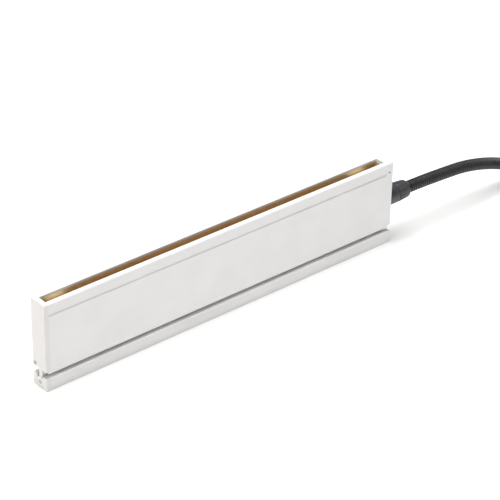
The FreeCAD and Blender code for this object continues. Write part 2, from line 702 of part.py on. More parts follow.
def make_ceramic(side):
    """A ceramic end cap with the round socket that holds the tube's end."""
    centre = holder_x(side)
    half = CERAMIC_W / 2
    x0, x1 = centre - CERAMIC_LENGTH / 2, centre + CERAMIC_LENGTH / 2
    cap = box(x0, x1, -half, half, TUBE_Z - half, TUBE_Z + half)
    long_edges = [e for e in cap.Edges if e.BoundBox.XLength > CERAMIC_LENGTH / 2]
    cap = cap.makeFillet(1.5, long_edges)
    socket_r = TUBE_R + SLIP
    if side < 0:
        return cap.cut(rod_x(x1 - CERAMIC_HOLD, x1 + 1, socket_r, 0, TUBE_Z))
    return cap.cut(rod_x(x0 - 1, x0 + CERAMIC_HOLD, socket_r, 0, TUBE_Z))


def make_holder(side):
    """A spring-steel holder: foot on the web, riser, saddle and two fingers."""
    centre = holder_x(side)
    x0, x1 = centre - CLIP_LENGTH / 2, centre + CLIP_LENGTH / 2
    saddle_z = CERAMIC_Z - CLIP_T
    reach = CERAMIC_W / 2 + SLIP
    foot_half = CLIP_FOOT_W / 2
    foot = box(x0, x1, -foot_half, foot_half, WEB_HEIGHT, WEB_HEIGHT + CLIP_T)
    riser_half = CLIP_RISER_W / 2
    riser = box(centre - CLIP_T / 2, centre + CLIP_T / 2, -riser_half, riser_half, WEB_HEIGHT,
                saddle_z + CLIP_T)
    saddle = box(x0, x1, -reach - CLIP_T, reach + CLIP_T, saddle_z, saddle_z + CLIP_T)
    holder = foot.fuse(riser).fuse(saddle)
    for y in (-reach - CLIP_T, reach):
        holder = holder.fuse(box(x0 + 1, x1 - 1, y, y + CLIP_T, saddle_z, saddle_z + CLIP_GRIP))
    for x in holder_screw_offsets():
        hole = rod_z(WEB_HEIGHT - 1, WEB_HEIGHT + CLIP_T + 1, HOLDER_SCREW_R + SLIP, centre + x)
        holder = holder.cut(hole)
    return holder.removeSplitter()


def holder_screw_offsets():
    """A holder's two screws, either side of its riser."""
    return [-HOLDER_SCREW_STEP / 2, HOLDER_SCREW_STEP / 2]


def holder_screw_places():
    """Where all the holder screws are along X."""
    return [holder_x(side) + x for side in (-1, 1) for x in holder_screw_offsets()]


def make_holder_screws():
    """The pan-head screws that hold both lamp holders to the web."""
    seat = WEB_HEIGHT + CLIP_T
    return Part.makeCompound(
        [
            pan_screw_z(x, 0, seat, HOLDER_SCREW_R, HOLDER_SCREW_HEAD_R, PAN_HEAD_H, WEB + CLIP_T + 2)
            for x in holder_screw_places()
        ]
    )


def web_holes():
    """The two holes in the web that the lamp's leads go down through, as (x, y)."""
    return [(LAMP_LEFT - LEAD_HOLE_PAST_CAP, 0.0), (LAMP_RIGHT + LEAD_HOLE_PAST_CAP, 0.0)]


def make_grommets():
    """The silicone grommets in the web's two lead holes."""
    pieces = []
    for x, y in web_holes():
        ring = rod_z(CHAMBER_TOP - 1, WEB_HEIGHT + 1, GROMMET_R - 0.02, x, y)
        ring = ring.fuse(rod_z(WEB_HEIGHT + 0.02, WEB_HEIGHT + 1, GROMMET_R + 1, x, y))
        ring = ring.fuse(rod_z(CHAMBER_TOP - 1, CHAMBER_TOP - 0.02, GROMMET_R + 1, x, y))
        ring = ring.cut(rod_z(CHAMBER_TOP - 2, WEB_HEIGHT + 2, LEAD_R + SLIP, x, y))
        pieces.append(ring.removeSplitter())
    return Part.makeCompound(pieces)


def block_faces():
    """The terminal block's left and right faces along X, and the height of its wire holes."""
    return BLOCK_X, BLOCK_X + BLOCK_L, CHAMBER_LOW + BLOCK_FOOT_H + BLOCK_WIRE_H


def make_lead(side):
    """A lamp lead: out of its ceramic cap, down through its grommet and into the terminal block."""
    hole_x, _ = web_holes()[0 if side < 0 else 1]
    cap_x = LAMP_LEFT if side < 0 else LAMP_RIGHT
    block_left, _, wire_z = block_faces()
    lane = side * CORE_LANE
    end = vec(block_left + BLOCK_WIRE_DEPTH - 1, lane, wire_z)
    points = [vec(cap_x, 0, TUBE_Z), vec(hole_x, 0, TUBE_Z)]
    if side < 0:
        floor_z = CHAMBER_LOW + LEAD_R + SLIP
        points.append(vec(hole_x, 0, floor_z + 6))
        points.append(vec(hole_x + 14, 0, floor_z))
        points.append(vec(block_left - 22, 0, floor_z))
        points.append(vec(block_left - 8, lane, wire_z))
    else:
        under_web = CHAMBER_TOP - 5.4
        down_x = block_left - 12
        points.append(vec(hole_x, 0, under_web))
        points.append(vec(hole_x - 13, lane, under_web))
        points.append(vec(down_x, lane, under_web))
        points.append(vec(down_x, lane, wire_z))
    points.append(end)
    return bent_tube(points, LEAD_R, LEAD_BEND)[0]


# ---- wiring space -----------------------------------------------------------------------------
def make_terminal_block():
    """The ceramic terminal block with three ways, on a foot between the screw ports."""
    x0, x1, wire_z = block_faces()
    half = BLOCK_W / 2
    low = CHAMBER_LOW + BLOCK_FOOT_H
    top = low + BLOCK_H
    block = box(x0, x1, -half, half, low, top)
    block = block.fuse(box(x0, x1, -BLOCK_FOOT_W / 2, BLOCK_FOOT_W / 2, CHAMBER_LOW, low))
    hole_r = LEAD_R + SLIP
    for y in core_lanes():
        block = block.cut(rod_x(x0 - 1, x0 + BLOCK_WIRE_DEPTH, hole_r, y, wire_z))
        block = block.cut(rod_x(x1 - BLOCK_WIRE_DEPTH, x1 + 1, hole_r, y, wire_z))
        for x in terminal_screw_xs():
            block = block.cut(rod_z(wire_z + hole_r, top + 1, TERMINAL_SCREW_R, x, y))
    middle = (x0 + x1) / 2
    block = block.cut(rod_z(CHAMBER_LOW - 1, top + 1, FLOOR_SCREW_R + SLIP, middle))
    block = block.cut(rod_z(low + BLOCK_SCREW_SEAT, top + 1, HOLDER_SCREW_HEAD_R + FREE, middle))
    return block.removeSplitter()


def core_lanes():
    """Across-the-housing places of the three ways."""
    return [-CORE_LANE, 0.0, CORE_LANE]


def terminal_screw_xs():
    """Where the block's terminal screws are along X."""
    x0, x1, _ = block_faces()
    return [x0 + TERMINAL_SCREW_IN, x1 - TERMINAL_SCREW_IN]


def make_terminal_screws():
    """The terminal block's six clamping screws, driven down onto the wires."""
    top = CHAMBER_LOW + BLOCK_FOOT_H + BLOCK_H
    low = block_faces()[2] + LEAD_R + SLIP
    return Part.makeCompound(
        [
            rod_z(low, top - 1.0, TERMINAL_SCREW_R - SLIP / 2, x, y)
            for x in terminal_screw_xs()
            for y in core_lanes()
        ]
    )


def floor_screw_places():
    """The terminal block's screw and the earth screw, along X."""
    x0, x1, _ = block_faces()
    return [(x0 + x1) / 2, earth_x()]


def earth_x():
    """The earth screw's place, between the terminal block and the right plate."""
    return block_faces()[1] + EARTH_FROM_BLOCK


def make_block_screw():
    """The screw that holds the terminal block to the floor."""
    seat = CHAMBER_LOW + BLOCK_FOOT_H + BLOCK_SCREW_SEAT
    length = seat - CHAMBER_LOW + FLOOR_HOLE_DEPTH - 0.5
    return pan_screw_z(floor_screw_places()[0], 0, seat, FLOOR_SCREW_R, HOLDER_SCREW_HEAD_R, PAN_HEAD_H,
                       length)


def make_earth_screw():
    """The earth screw with the ring tag under its head; the tag's barrel takes the earth core."""
    x = earth_x()
    tag_top = CHAMBER_LOW + EARTH_TAG_T
    tag = rod_z(CHAMBER_LOW, tag_top, EARTH_TAG_R, x)
    screw = pan_screw_z(x, 0, tag_top, FLOOR_SCREW_R, HOLDER_SCREW_HEAD_R, PAN_HEAD_H,
                        EARTH_TAG_T + FLOOR_HOLE_DEPTH - 0.5)
    neck = box(x, x + EARTH_TAG_R + 1, -CORE_R, CORE_R, CHAMBER_LOW, tag_top)
    barrel_start = x + EARTH_TAG_R
    barrel = rod_x(barrel_start, barrel_start + 4, CORE_R + 0.4, 0, earth_barrel_z())
    bore = rod_x(barrel_start + 1, barrel_start + 5, CORE_R + 0.02, 0, earth_barrel_z())
    return screw.fuse([tag, neck, barrel]).cut(bore).removeSplitter()


def earth_barrel_z():
    """The height of the earth tag's barrel, which stands on the floor."""
    return CHAMBER_LOW + CORE_R + 0.4 + 0.02


def make_core(index):
    """One supply core: through the gland and down to the terminal block, or to the earth screw."""
    spread = (index - 1) * CORE_SPREAD
    start_z = GLAND_HEIGHT - CORE_SAG
    start = vec(CONDUIT_START - FREE, spread, start_z)
    block_right, wire_z = block_faces()[1], block_faces()[2]
    if index == 1:
        down_x = BODY_RIGHT - TONGUE_LENGTH - CORE_R - 1
        points = [
            start,
            vec(down_x, 0, start_z),
            vec(down_x, 0, earth_barrel_z()),
            vec(earth_x() + EARTH_TAG_R + 1.5, 0, earth_barrel_z()),
        ]
        return bent_tube(points, CORE_R, LEAD_BEND)[0]
    lane = core_lanes()[index]
    points = [
        start,
        vec(BODY_RIGHT - 10.0, spread, start_z),
        vec(block_right + 8.0, lane, wire_z),
        vec(block_right - BLOCK_WIRE_DEPTH + 1, lane, wire_z),
    ]
    return bent_tube(points, CORE_R, LEAD_BEND)[0]


# ---- gland and conduit ------------------------------------------------------------------------
def make_gland_body():
    """The gland's body: spigot in the end plate, base, and the collar under the nut."""
    base = rod_x(X_RIGHT, GLAND_FACE, GLAND_BASE_R, 0, GLAND_HEIGHT)
    rim = [e for e in base.Edges if e.BoundBox.XLength < 0.01]
    base = base.makeFillet(GLAND_BASE_ROUND, [e for e in rim if e.BoundBox.XMin > X_RIGHT + 1])
    spigot_end = X_RIGHT - GLAND_SPIGOT_LENGTH
    body = base.fuse(rod_x(spigot_end, X_RIGHT + 1, GLAND_SPIGOT_R - PRESS, 0, GLAND_HEIGHT))
    collar_end = GLAND_FACE + GLAND_COLLAR_LENGTH
    body = body.fuse(rod_x(GLAND_FACE - 1, collar_end, GLAND_COLLAR_R, 0, GLAND_HEIGHT))
    body = body.cut(rod_x(spigot_end - 1, CONDUIT_START + 1, GLAND_BORE_R, 0, GLAND_HEIGHT))
    body = body.cut(rod_x(CONDUIT_START, collar_end + 1, CONDUIT_R + SLIP, 0, GLAND_HEIGHT))
    return body.removeSplitter()


def nut_blank(x0, length, radius, bore_r, thread_r, thread_length, ribs, y=0.0, z=0.0):
    """A domed nut along X with grip ribs round its open half."""
    profile = [
        (0.0, thread_r),
        (0.0, radius - 1.2),
        (0.8, radius - 0.6),
        (length * 0.82, radius - 0.6),
        (length * 0.95, radius - 1.4),
        (length, radius - 2.6),
        (length, bore_r),
        (thread_length, bore_r),
        (thread_length, thread_r),
    ]
    nut = turned(profile, x0, y, z)
    rib_list = []
    for i in range(ribs):
        angle = 2 * math.pi * i / ribs
        ry = y + (radius - NUT_RIB_R) * math.cos(angle)
        rz = z + (radius - NUT_RIB_R) * math.sin(angle)
        rib_list.append(rod_x(x0 + 1.2, x0 + length * 0.84, NUT_RIB_R, ry, rz))
    return nut.fuse(rib_list).removeSplitter()


def make_gland_nut():
    """The ribbed nut that grips the conduit."""
    return nut_blank(GLAND_FACE + FREE, NUT_LENGTH - FREE, NUT_R, CONDUIT_R + SLIP, GLAND_COLLAR_R + SLIP,
                     GLAND_COLLAR_LENGTH + 2.6, NUT_RIBS, 0, GLAND_HEIGHT)


def make_gland_seal():
    """The rubber ring squeezed between the collar and the nut."""
    x0 = GLAND_FACE + GLAND_COLLAR_LENGTH + SLIP
    ring = rod_x(x0, x0 + 2.4, GLAND_COLLAR_R - 0.2, 0, GLAND_HEIGHT)
    return ring.cut(rod_x(x0 - 1, x0 + 4, CONDUIT_R + SLIP, 0, GLAND_HEIGHT))


def route_points():
    """The conduit's route from the gland to where its coil starts."""
    return [vec(CONDUIT_START + along, 0, height) for along, height in CONDUIT_ROUTE]


def make_conduit_run():
    """The conduit's stretch from the gland down to its coil."""
    tube, length, radii = bent_tube(route_points(), CONDUIT_R)
    section = math.pi * CONDUIT_R ** 2
    print("conduit run: length %.1f, arc radii %s" % (length, ", ".join("%.0f" % r for r in radii)))
    print("conduit run: volume %.0f, section x length %.0f" % (tube.Volume, section * length))
    return tube


def coil_centre():
    """The middle of the conduit's coil, as (x, y)."""
    return CONDUIT_START + CONDUIT_ROUTE[-1][0], -COIL_LOOP_R


def ring(r_in, r_out, z0, z1):
    """A flat ring round the coil's middle."""
    x, y = coil_centre()
    return rod_z(z0, z1, r_out, x, y).cut(rod_z(z0 - 1, z1 + 1, r_in, x, y))


def tail_frame():
    """Where the coil's last turn ends, as its point, the way on and the way outwards."""
    x, y = coil_centre()
    angle = math.radians(90 - COIL_END_DEG)
    out = vec(math.cos(angle), math.sin(angle), 0)
    on = vec(math.sin(angle), -math.cos(angle), 0)
    loop = COIL_LOOP_R - CONDUIT_R
    return vec(x, y, TAIL_Z) + out * loop, on, out


def coil_length():
    """The length of conduit in the coil, without the tail."""
    outer = COIL_LOOP_R
    inner = COIL_LOOP_R - 2 * CONDUIT_R
    nest = COIL_LOOP_R - CONDUIT_R
    steps = 60  # the turns step inwards or outwards over this many degrees
    level = 300 * outer + steps * nest + 240 * inner
    return math.radians(level + steps * (inner + nest) / 2 + (COIL_END_DEG - COIL_LOW_DEG) * nest)


def make_conduit_coil():
    """The outer shape of the coiled conduit: two turns side by side and one that nests on them."""
    outer = COIL_LOOP_R + CONDUIT_R
    inner = COIL_LOOP_R - 3 * CONDUIT_R
    layer = COIL_REST + 2 * CONDUIT_R
    top = layer + COIL_NEST_RISE
    x, y = coil_centre()
    entry = box(x - outer - 1, x, -2 * CONDUIT_R, CONDUIT_R + 1, -1, layer + 1)
    low = ring(inner, outer, COIL_REST, layer).cut(entry)
    upper = ring(COIL_LOOP_R - 2 * CONDUIT_R, COIL_LOOP_R, layer, top).cut(entry)
    end, on, _ = tail_frame()
    half = 2 * PLUG_R + 4
    gap = Part.makeBox(TAIL_LENGTH + PLUG_LENGTH + 60, 2 * half, 60)
    gap.translate(vec(0, -half, layer))
    gap.rotate(ORIGIN, ALONG_Z, math.degrees(math.atan2(on.y, on.x)))
    gap.translate(vec(end.x, end.y, 0))
    tail = Part.makeCylinder(CONDUIT_R, TAIL_LENGTH, end, on)
    print("conduit coil: length %.1f" % (coil_length() + TAIL_LENGTH))
    return low.fuse(upper.cut(gap)).fuse(tail).removeSplitter()


def place_on_tail(shape, distance):
    """Moves a shape made along X at the origin onto the tail's line."""
    end, on, _ = tail_frame()
    shape.rotate(ORIGIN, ALONG_Z, math.degrees(math.atan2(on.y, on.x)))
    shape.translate(end + on * distance)
    return shape


def make_plug_nut():
    """The nut that grips the conduit in its connector."""
    nut = nut_blank(0, PLUG_NUT_LENGTH, PLUG_NUT_R, CONDUIT_R + SLIP, CONDUIT_R + SLIP, 1.0, PLUG_NUT_RIBS)
    nut.rotate(ORIGIN, ALONG_Z, 180)
    return place_on_tail(nut, TAIL_LENGTH - FREE)


def make_plug_body():
    """The round three-pole connector on the conduit's end."""
    grip_end = PLUG_LENGTH * PLUG_GRIP_SHARE
    floor = PLUG_LENGTH - PIN_LENGTH - PIN_SHORT
    profile = [
        (0.0, 0.0),
        (0.0, PLUG_R - 2.5),
        (3.0, PLUG_R),
        (grip_end, PLUG_R),
        (grip_end, PLUG_COLLAR_R),
        (PLUG_LENGTH, PLUG_COLLAR_R),
        (PLUG_LENGTH, PLUG_COLLAR_BORE_R),
        (floor, PLUG_COLLAR_BORE_R),
        (floor, 0.0),
    ]
    return place_on_tail(turned(profile, 0), TAIL_LENGTH)


def make_plug_pins():
    """The connector's three pins, inside its collar."""
    pins = []
    for i in range(3):
        angle = math.radians(90 + 120 * i)
        y = PIN_CIRCLE_R * math.cos(angle)
        z = PIN_CIRCLE_R * math.sin(angle)
        x0 = PLUG_LENGTH - PIN_LENGTH - PIN_SHORT
        pins.append(rod_x(x0, x0 + PIN_LENGTH, PIN_R, y, z))
    return Part.makeCompound([place_on_tail(pin, TAIL_LENGTH) for pin in pins])


def make_coil_ties():
    """The two straps that go round all the coil's turns."""
    x, y = coil_centre()
    inner_r = COIL_LOOP_R - 3 * CONDUIT_R
    inner = math.sqrt(inner_r ** 2 - (TIE_W / 2) ** 2) - SLIP
    outer = COIL_LOOP_R + CONDUIT_R + SLIP
    top = COIL_REST + 2 * CONDUIT_R + COIL_NEST_RISE + SLIP
    ties = []
    for angle in TIE_ANGLES:
        strap = box(inner - TIE_T, outer + TIE_T, -TIE_W / 2, TIE_W / 2, 0, top + TIE_T)
        strap = strap.cut(box(inner, outer, -TIE_W, TIE_W, TIE_T, top))
        strap.rotate(ORIGIN, ALONG_Z, angle)
        strap.translate(vec(x, y, 0))
        ties.append(strap)
    return Part.makeCompound(ties)


def build():
    """Every sub-part by name."""
    return {
        "mounting_rail": make_rail(),
        "channel_liner": make_liner(),
        "rail_cap_left": make_rail_cap(-1),
        "rail_cap_right": make_rail_cap(1),
        "tilt_lock_screws": make_lock_screws(),
        "housing_profile": make_body(),
        "bead_washers": make_bead_washers(),
        "bead_screws": make_bead_screws(),
        "end_plate_left": make_left_plate(),
        "end_plate_right": make_right_plate(),
        "left_plate_screw": make_left_plate_screw(),
        "right_plate_screws": make_right_plate_screws(),
        "earth_test_screw": make_bond_screw(),
        "reflector": make_reflector(),
        "insulation_bed": make_bed(),
        "quartz_tube": make_quartz_tube(),
        "heating_coil": make_heating_coil(),
        "ceramic_cap_left": make_ceramic(-1),
        "ceramic_cap_right": make_ceramic(1),
        "lamp_holder_left": make_holder(-1),
        "lamp_holder_right": make_holder(1),
        "holder_screws": make_holder_screws(),
        "web_grommets": make_grommets(),
        "lamp_lead_left": make_lead(-1),
        "lamp_lead_right": make_lead(1),
        "terminal_block": make_terminal_block(),
        "terminal_screws": make_terminal_screws(),
        "block_screw": make_block_screw(),
        "earth_screw": make_earth_screw(),
        "live_core": make_core(0),
        "earth_core": make_core(1),
        "neutral_core": make_core(2),
        "gland_body": make_gland_body(),
        "gland_seal": make_gland_seal(),
        "gland_nut": make_gland_nut(),
        "conduit_run": make_conduit_run(),
        "conduit_coil": make_conduit_coil(),
        "coil_ties": make_coil_ties(),
        "connector_nut": make_plug_nut(),
        "connector_body": make_plug_body(),
        "connector_pins": make_plug_pins(),
    }


def main():
    """Builds the parts and writes one STEP file for each."""
    os.makedirs("parts", exist_ok=True)
    for name, shape in build().items():
        shape.exportStep("parts/%s.step" % name)


main()
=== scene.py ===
"""Finishes, flexible conduit and small fittings for a slim heat lamp that tilts on its rail.

Metres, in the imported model's own frame. X runs along the lamp towards its cable gland, Y from the
front face to the rear face, and Z up from the rail's shelf face.
"""

import logging
import math
from dataclasses import dataclass
from enum import Enum

import bmesh
import bpy
from mathutils import Matrix, Vector


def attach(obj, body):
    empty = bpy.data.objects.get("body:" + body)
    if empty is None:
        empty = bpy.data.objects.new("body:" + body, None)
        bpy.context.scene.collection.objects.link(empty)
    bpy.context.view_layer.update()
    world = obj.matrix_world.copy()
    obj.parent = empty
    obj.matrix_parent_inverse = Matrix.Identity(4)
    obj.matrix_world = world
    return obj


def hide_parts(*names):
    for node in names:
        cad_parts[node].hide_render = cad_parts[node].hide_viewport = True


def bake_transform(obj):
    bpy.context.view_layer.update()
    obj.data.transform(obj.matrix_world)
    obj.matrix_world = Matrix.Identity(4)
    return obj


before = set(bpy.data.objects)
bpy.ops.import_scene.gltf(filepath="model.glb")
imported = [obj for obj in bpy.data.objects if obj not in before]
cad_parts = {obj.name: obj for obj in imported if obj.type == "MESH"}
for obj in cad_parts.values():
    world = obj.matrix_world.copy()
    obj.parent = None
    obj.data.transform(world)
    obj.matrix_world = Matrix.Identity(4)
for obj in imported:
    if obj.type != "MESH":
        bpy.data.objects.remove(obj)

LOG = logging.getLogger("heat_lamp")
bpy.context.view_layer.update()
MM = 0.001


class Body(Enum):
    """The two bodies that pieces ride on."""

    RAIL = "rail"
    LAMP = "lamp"


class Slot(Enum):
    """Material slot names for the new pieces; nothing in this script assigns them."""

    POLYAMIDE = "black_polyamide"
    CONDUIT = "black_conduit"
    WEBBING = "tie_webbing"


# ---- shared tools -------------------------------------------------------------------------------
def linear(code: str) -> tuple[float, float, float, float]:
    """Turns an sRGB hex colour into a linear one.

    Args:
        code: the colour, such as "#F2F1EE".

    Returns:
        Red, green and blue, linear, and a fourth channel of 1.
    """
    channels = [int(code[i:i + 2], 16) / 255 for i in (1, 3, 5)]
    red, green, blue = (c / 12.92 if c <= 0.04045 else ((c + 0.055) / 1.055) ** 2.4 for c in channels)
    return red, green, blue, 1.0


def cycles(size_mm: float) -> float:
    """The texture scale whose features are size_mm across."""
    return 1000.0 / size_mm


def add_node(tree: bpy.types.NodeTree, kind: str, inputs: dict | None = None,
             **settings: object) -> bpy.types.Node:
    """Adds one shader node.

    Args:
        tree: the material's node tree.
        kind: the node's type, without the ShaderNode prefix.
        inputs: for each input, by name or number, its value or the socket that feeds it.
        settings: attributes of the node itself.

    Returns:
        The new node.
    """
    node = tree.nodes.new("ShaderNode" + kind)
    for name, value in settings.items():
        setattr(node, name, value)
    for key, value in (inputs or {}).items():
        if isinstance(value, bpy.types.NodeSocket):
            tree.links.new(value, node.inputs[key])
        else:
            node.inputs[key].default_value = value
    return node


def ramp(tree: bpy.types.NodeTree, factor: bpy.types.NodeSocket,
         stops: list[tuple[float, tuple[float, float, float, float]]]) -> bpy.types.NodeSocket:
    """Maps a factor to colours.

    Args:
        tree: the material's node tree.
        factor: the socket that gives the factor.
        stops: places along the ramp and their colours.

    Returns:
        The colour socket.
    """
    node = add_node(tree, "ValToRGB", {"Fac": factor})
    elements = node.color_ramp.elements
    while len(elements) < len(stops):
        elements.new(0.5)
    for element, (place, colour) in zip(elements, stops):
        element.position = place
        element.color = colour
    return node.outputs["Color"]


def grey(value: float) -> tuple[float, float, float, float]:
    """A neutral ramp colour."""
    return value, value, value, 1.0


def finished_object(name: str, mesh: bmesh.types.BMesh, finish: "Finish",
                    smooth_deg: float = 35.0) -> bpy.types.Object:
    """Makes an object of a bmesh, at the origin, shaded smooth below an angle.

    Args:
        name: the piece's name.
        mesh: its shape, which is freed.
        finish: what it is made of.
        smooth_deg: edges sharper than this stay crisp.

    Returns:
        The object.
    """
    bmesh.ops.remove_doubles(mesh, verts=mesh.verts, dist=1e-6)
    bmesh.ops.recalc_face_normals(mesh, faces=mesh.faces)
    limit = math.radians(smooth_deg)
    for face in mesh.faces:
        face.smooth = True
    for edge in mesh.edges:
        edge.smooth = len(edge.link_faces) == 2 and edge.calc_face_angle(0.0) < limit
    data = bpy.data.meshes.new(name)
    mesh.to_mesh(data)
    mesh.free()
    data.materials.append(finish.material())
    piece = bpy.data.objects.new(name, data)
    bpy.context.scene.collection.objects.link(piece)
    return piece


def turned(profile: list[tuple[float, float]], steps: int) -> bmesh.types.BMesh:
    """Spins a closed outline into a turned part about the X axis.

    Args:
        profile: (distance along X, radius) points in metres.
        steps: how many faces go round.

    Returns:
        The turned part.
    """
    mesh = bmesh.new()
    verts = [mesh.verts.new((x, 0, radius)) for x, radius in profile]
    edges = [mesh.edges.new(pair) for pair in zip(verts, verts[1:] + verts[:1])
             if pair[0].co.z > 1e-7 or pair[1].co.z > 1e-7]
    bmesh.ops.spin(mesh, geom=verts + edges, cent=(0, 0, 0), axis=(1, 0, 0), angle=2 * math.pi,
                   steps=steps, use_merge=True)
    bmesh.ops.remove_doubles(mesh, verts=mesh.verts, dist=1e-6)
    return mesh


# ---- finishes -----------------------------------------------------------------------------------
@dataclass(frozen=True)
class Finish:
    """A surface: one Principled shader whose colour, roughness and bump come from nodes."""

    name: str
    colour: str
    roughness: float = 0.5
    metallic: float = 0.0

    def material(self) -> bpy.types.Material:
        """Makes the finish's material the first time it is asked for.

        Returns:
            The material.
        """
        found = bpy.data.materials.get(self.name)
        if found:
            return found
        made = bpy.data.materials.new(self.name)
        made.use_nodes = True
        tree = made.node_tree
        tree.nodes.clear()
        shader = add_node(tree, "BsdfPrincipled", {
            "Base Color": linear(self.colour), "Roughness": self.roughness, "Metallic": self.metallic})
        add_node(tree, "OutputMaterial", {"Surface": shader.outputs["BSDF"]})
        self.detail(tree, shader, add_node(tree, "TexCoord").outputs["Object"])
        return made

    def detail(self, tree: bpy.types.NodeTree, shader: bpy.types.Node, where: bpy.types.NodeSocket) -> None:
        """Adds the grain, wear and bump.

        Args:
            tree: the material's node tree.
            shader: its Principled shader.
            where: Object coordinates, in metres.
        """

    def tint(self, tree: bpy.types.NodeTree, shader: bpy.types.Node, factor: bpy.types.NodeSocket,
             low: str, high: str) -> None:
        """Feeds the base colour with a slow change between two colours."""
        colour = ramp(tree, factor, [(0.3, linear(low)), (0.7, linear(high))])
        tree.links.new(colour, shader.inputs["Base Color"])

    def gloss(self, tree: bpy.types.NodeTree, shader: bpy.types.Node, factor: bpy.types.NodeSocket,
              low: float, high: float) -> None:
        """Feeds the roughness with a range."""
        spread = add_node(tree, "MapRange", {"Value": factor, "To Min": low, "To Max": high})
        tree.links.new(spread.outputs["Result"], shader.inputs["Roughness"])

    def relief(self, tree: bpy.types.NodeTree, shader: bpy.types.Node, height: bpy.types.NodeSocket,
               depth_mm: float, strength: float) -> None:
        """Feeds the normal with a bump of a real depth."""
        bump = add_node(tree, "Bump", {"Height": height, "Distance": depth_mm * MM, "Strength": strength})
        tree.links.new(bump.outputs["Normal"], shader.inputs["Normal"])


@dataclass(frozen=True)
class PowderCoat(Finish):
    """Polyester powder coating baked on extruded aluminium.

    The eye sees a satin white film with a faint orange peel, slightly duller where it has been handled.
    """

    shade: str = "#ECEBE8"
    peel_mm: float = 1.4
    handled_mm: float = 38.0

    def detail(self, tree: bpy.types.NodeTree, shader: bpy.types.Node, where: bpy.types.NodeSocket) -> None:
        """Orange peel, specks of heavier film, and a slow change where it is handled.

        Args:
            tree: the material's node tree.
            shader: its Principled shader.
            where: Object coordinates, in metres.
        """
        slow = add_node(tree, "TexNoise", {"Vector": where, "Scale": cycles(self.handled_mm), "Detail": 4.0})
        self.tint(tree, shader, slow.outputs["Fac"], self.shade, self.colour)
        self.gloss(tree, shader, slow.outputs["Fac"], self.roughness - 0.07, self.roughness + 0.09)
        peel = add_node(tree, "TexNoise", {"Vector": where, "Scale": cycles(self.peel_mm), "Detail": 2.0})
        grit = add_node(tree, "TexVoronoi", {"Vector": where, "Scale": cycles(self.peel_mm * 2.6)})
        mixed = add_node(tree, "Math", {0: peel.outputs["Fac"], 1: grit.outputs["Distance"]}, operation="ADD")
        self.relief(tree, shader, mixed.outputs["Value"], 0.03, 0.25)


@dataclass(frozen=True)
class GoldSheet(Finish):
    """Bright-rolled aluminium reflector sheet with a gold anodised face.

    The eye sees a warm sheen drawn out along the rolling direction. The colour is painted light and shade,
    pale at the lips and browner deeper in, shifted a little by a random heat tint.
    """

    line_mm: float = 0.35
    heat_mm: float = 45.0
    # Painted light and shade: the colour grades from brown at the first height to pale at the second, in
    # metres, and the heat pattern shifts it by this share.
    painted_shade_z: float = 0.0965
    painted_light_z: float = 0.105
    wander: float = 0.3

    def detail(self, tree: bpy.types.NodeTree, shader: bpy.types.Node, where: bpy.types.NodeSocket) -> None:
        """Rolling lines along X, heat tint, and painted light and shade that grade the colour with height.

        Args:
            tree: the material's node tree.
            shader: its Principled shader.
            where: Object coordinates, in metres.
        """
        drawn = add_node(tree, "Mapping", {"Vector": where, "Scale": (0.02, 1.0, 1.0)})
        lines = add_node(tree, "TexNoise", {"Vector": drawn.outputs["Vector"], "Scale": cycles(self.line_mm),
                                            "Detail": 3.0})
        heat = add_node(tree, "TexNoise", {"Vector": where, "Scale": cycles(self.heat_mm), "Detail": 3.0})
        axes = add_node(tree, "SeparateXYZ", {"Vector": where})
        # Painted light and shade: brown deep in the trough, near white at the lips.
        height = add_node(tree, "MapRange", {"Value": axes.outputs["Z"], "From Min": self.painted_shade_z,
                                             "From Max": self.painted_light_z})
        wander = add_node(tree, "Math", {0: heat.outputs["Fac"], 1: self.wander}, operation="MULTIPLY")
        place = add_node(tree, "Math", {0: height.outputs["Result"], 1: wander.outputs["Value"]},
                         operation="ADD")
        colour = ramp(tree, place.outputs["Value"], [(0.15, linear("#CDA163")), (0.5, linear("#EED09A")),
                                                     (0.85, linear("#F6E4BC")), (1.0, linear("#F5EEDC"))])
        tree.links.new(colour, shader.inputs["Base Color"])
        self.gloss(tree, shader, lines.outputs["Fac"], self.roughness - 0.06, self.roughness + 0.1)
        self.relief(tree, shader, lines.outputs["Fac"], 0.02, 0.3)


@dataclass(frozen=True)
class DrawnSteel(Finish):
    """Stainless steel, turned for the screws and rolled for the spring strip, or brass turned for terminals.

    The eye sees a grey or yellow metal with fine tool lines and a scatter of small scratches.
    """

    line_mm: float = 0.25
    scratch_mm: float = 1.6
    along_x: float = 1.0
    dark: str = "#A9A8A4"
    light: str = "#C9C8C4"

    def detail(self, tree: bpy.types.NodeTree, shader: bpy.types.Node, where: bpy.types.NodeSocket) -> None:
        """Tool lines and scratches.

        Args:
            tree: the material's node tree.
            shader: its Principled shader.
            where: Object coordinates, in metres.
        """
        drawn = add_node(tree, "Mapping", {"Vector": where, "Scale": (self.along_x, 1.0, 1.0)})
        lines = add_node(tree, "TexNoise", {"Vector": drawn.outputs["Vector"], "Scale": cycles(self.line_mm),
                                            "Detail": 4.0})
        marks = add_node(tree, "TexVoronoi", {"Vector": where, "Scale": cycles(self.scratch_mm)},
                         feature="DISTANCE_TO_EDGE")
        both = add_node(tree, "Math", {0: lines.outputs["Fac"], 1: marks.outputs["Distance"]},
                        operation="MULTIPLY")
        self.tint(tree, shader, lines.outputs["Fac"], self.dark, self.light)
        self.gloss(tree, shader, lines.outputs["Fac"], self.roughness - 0.08, self.roughness + 0.12)
        self.relief(tree, shader, both.outputs["Value"], 0.02, 0.3)


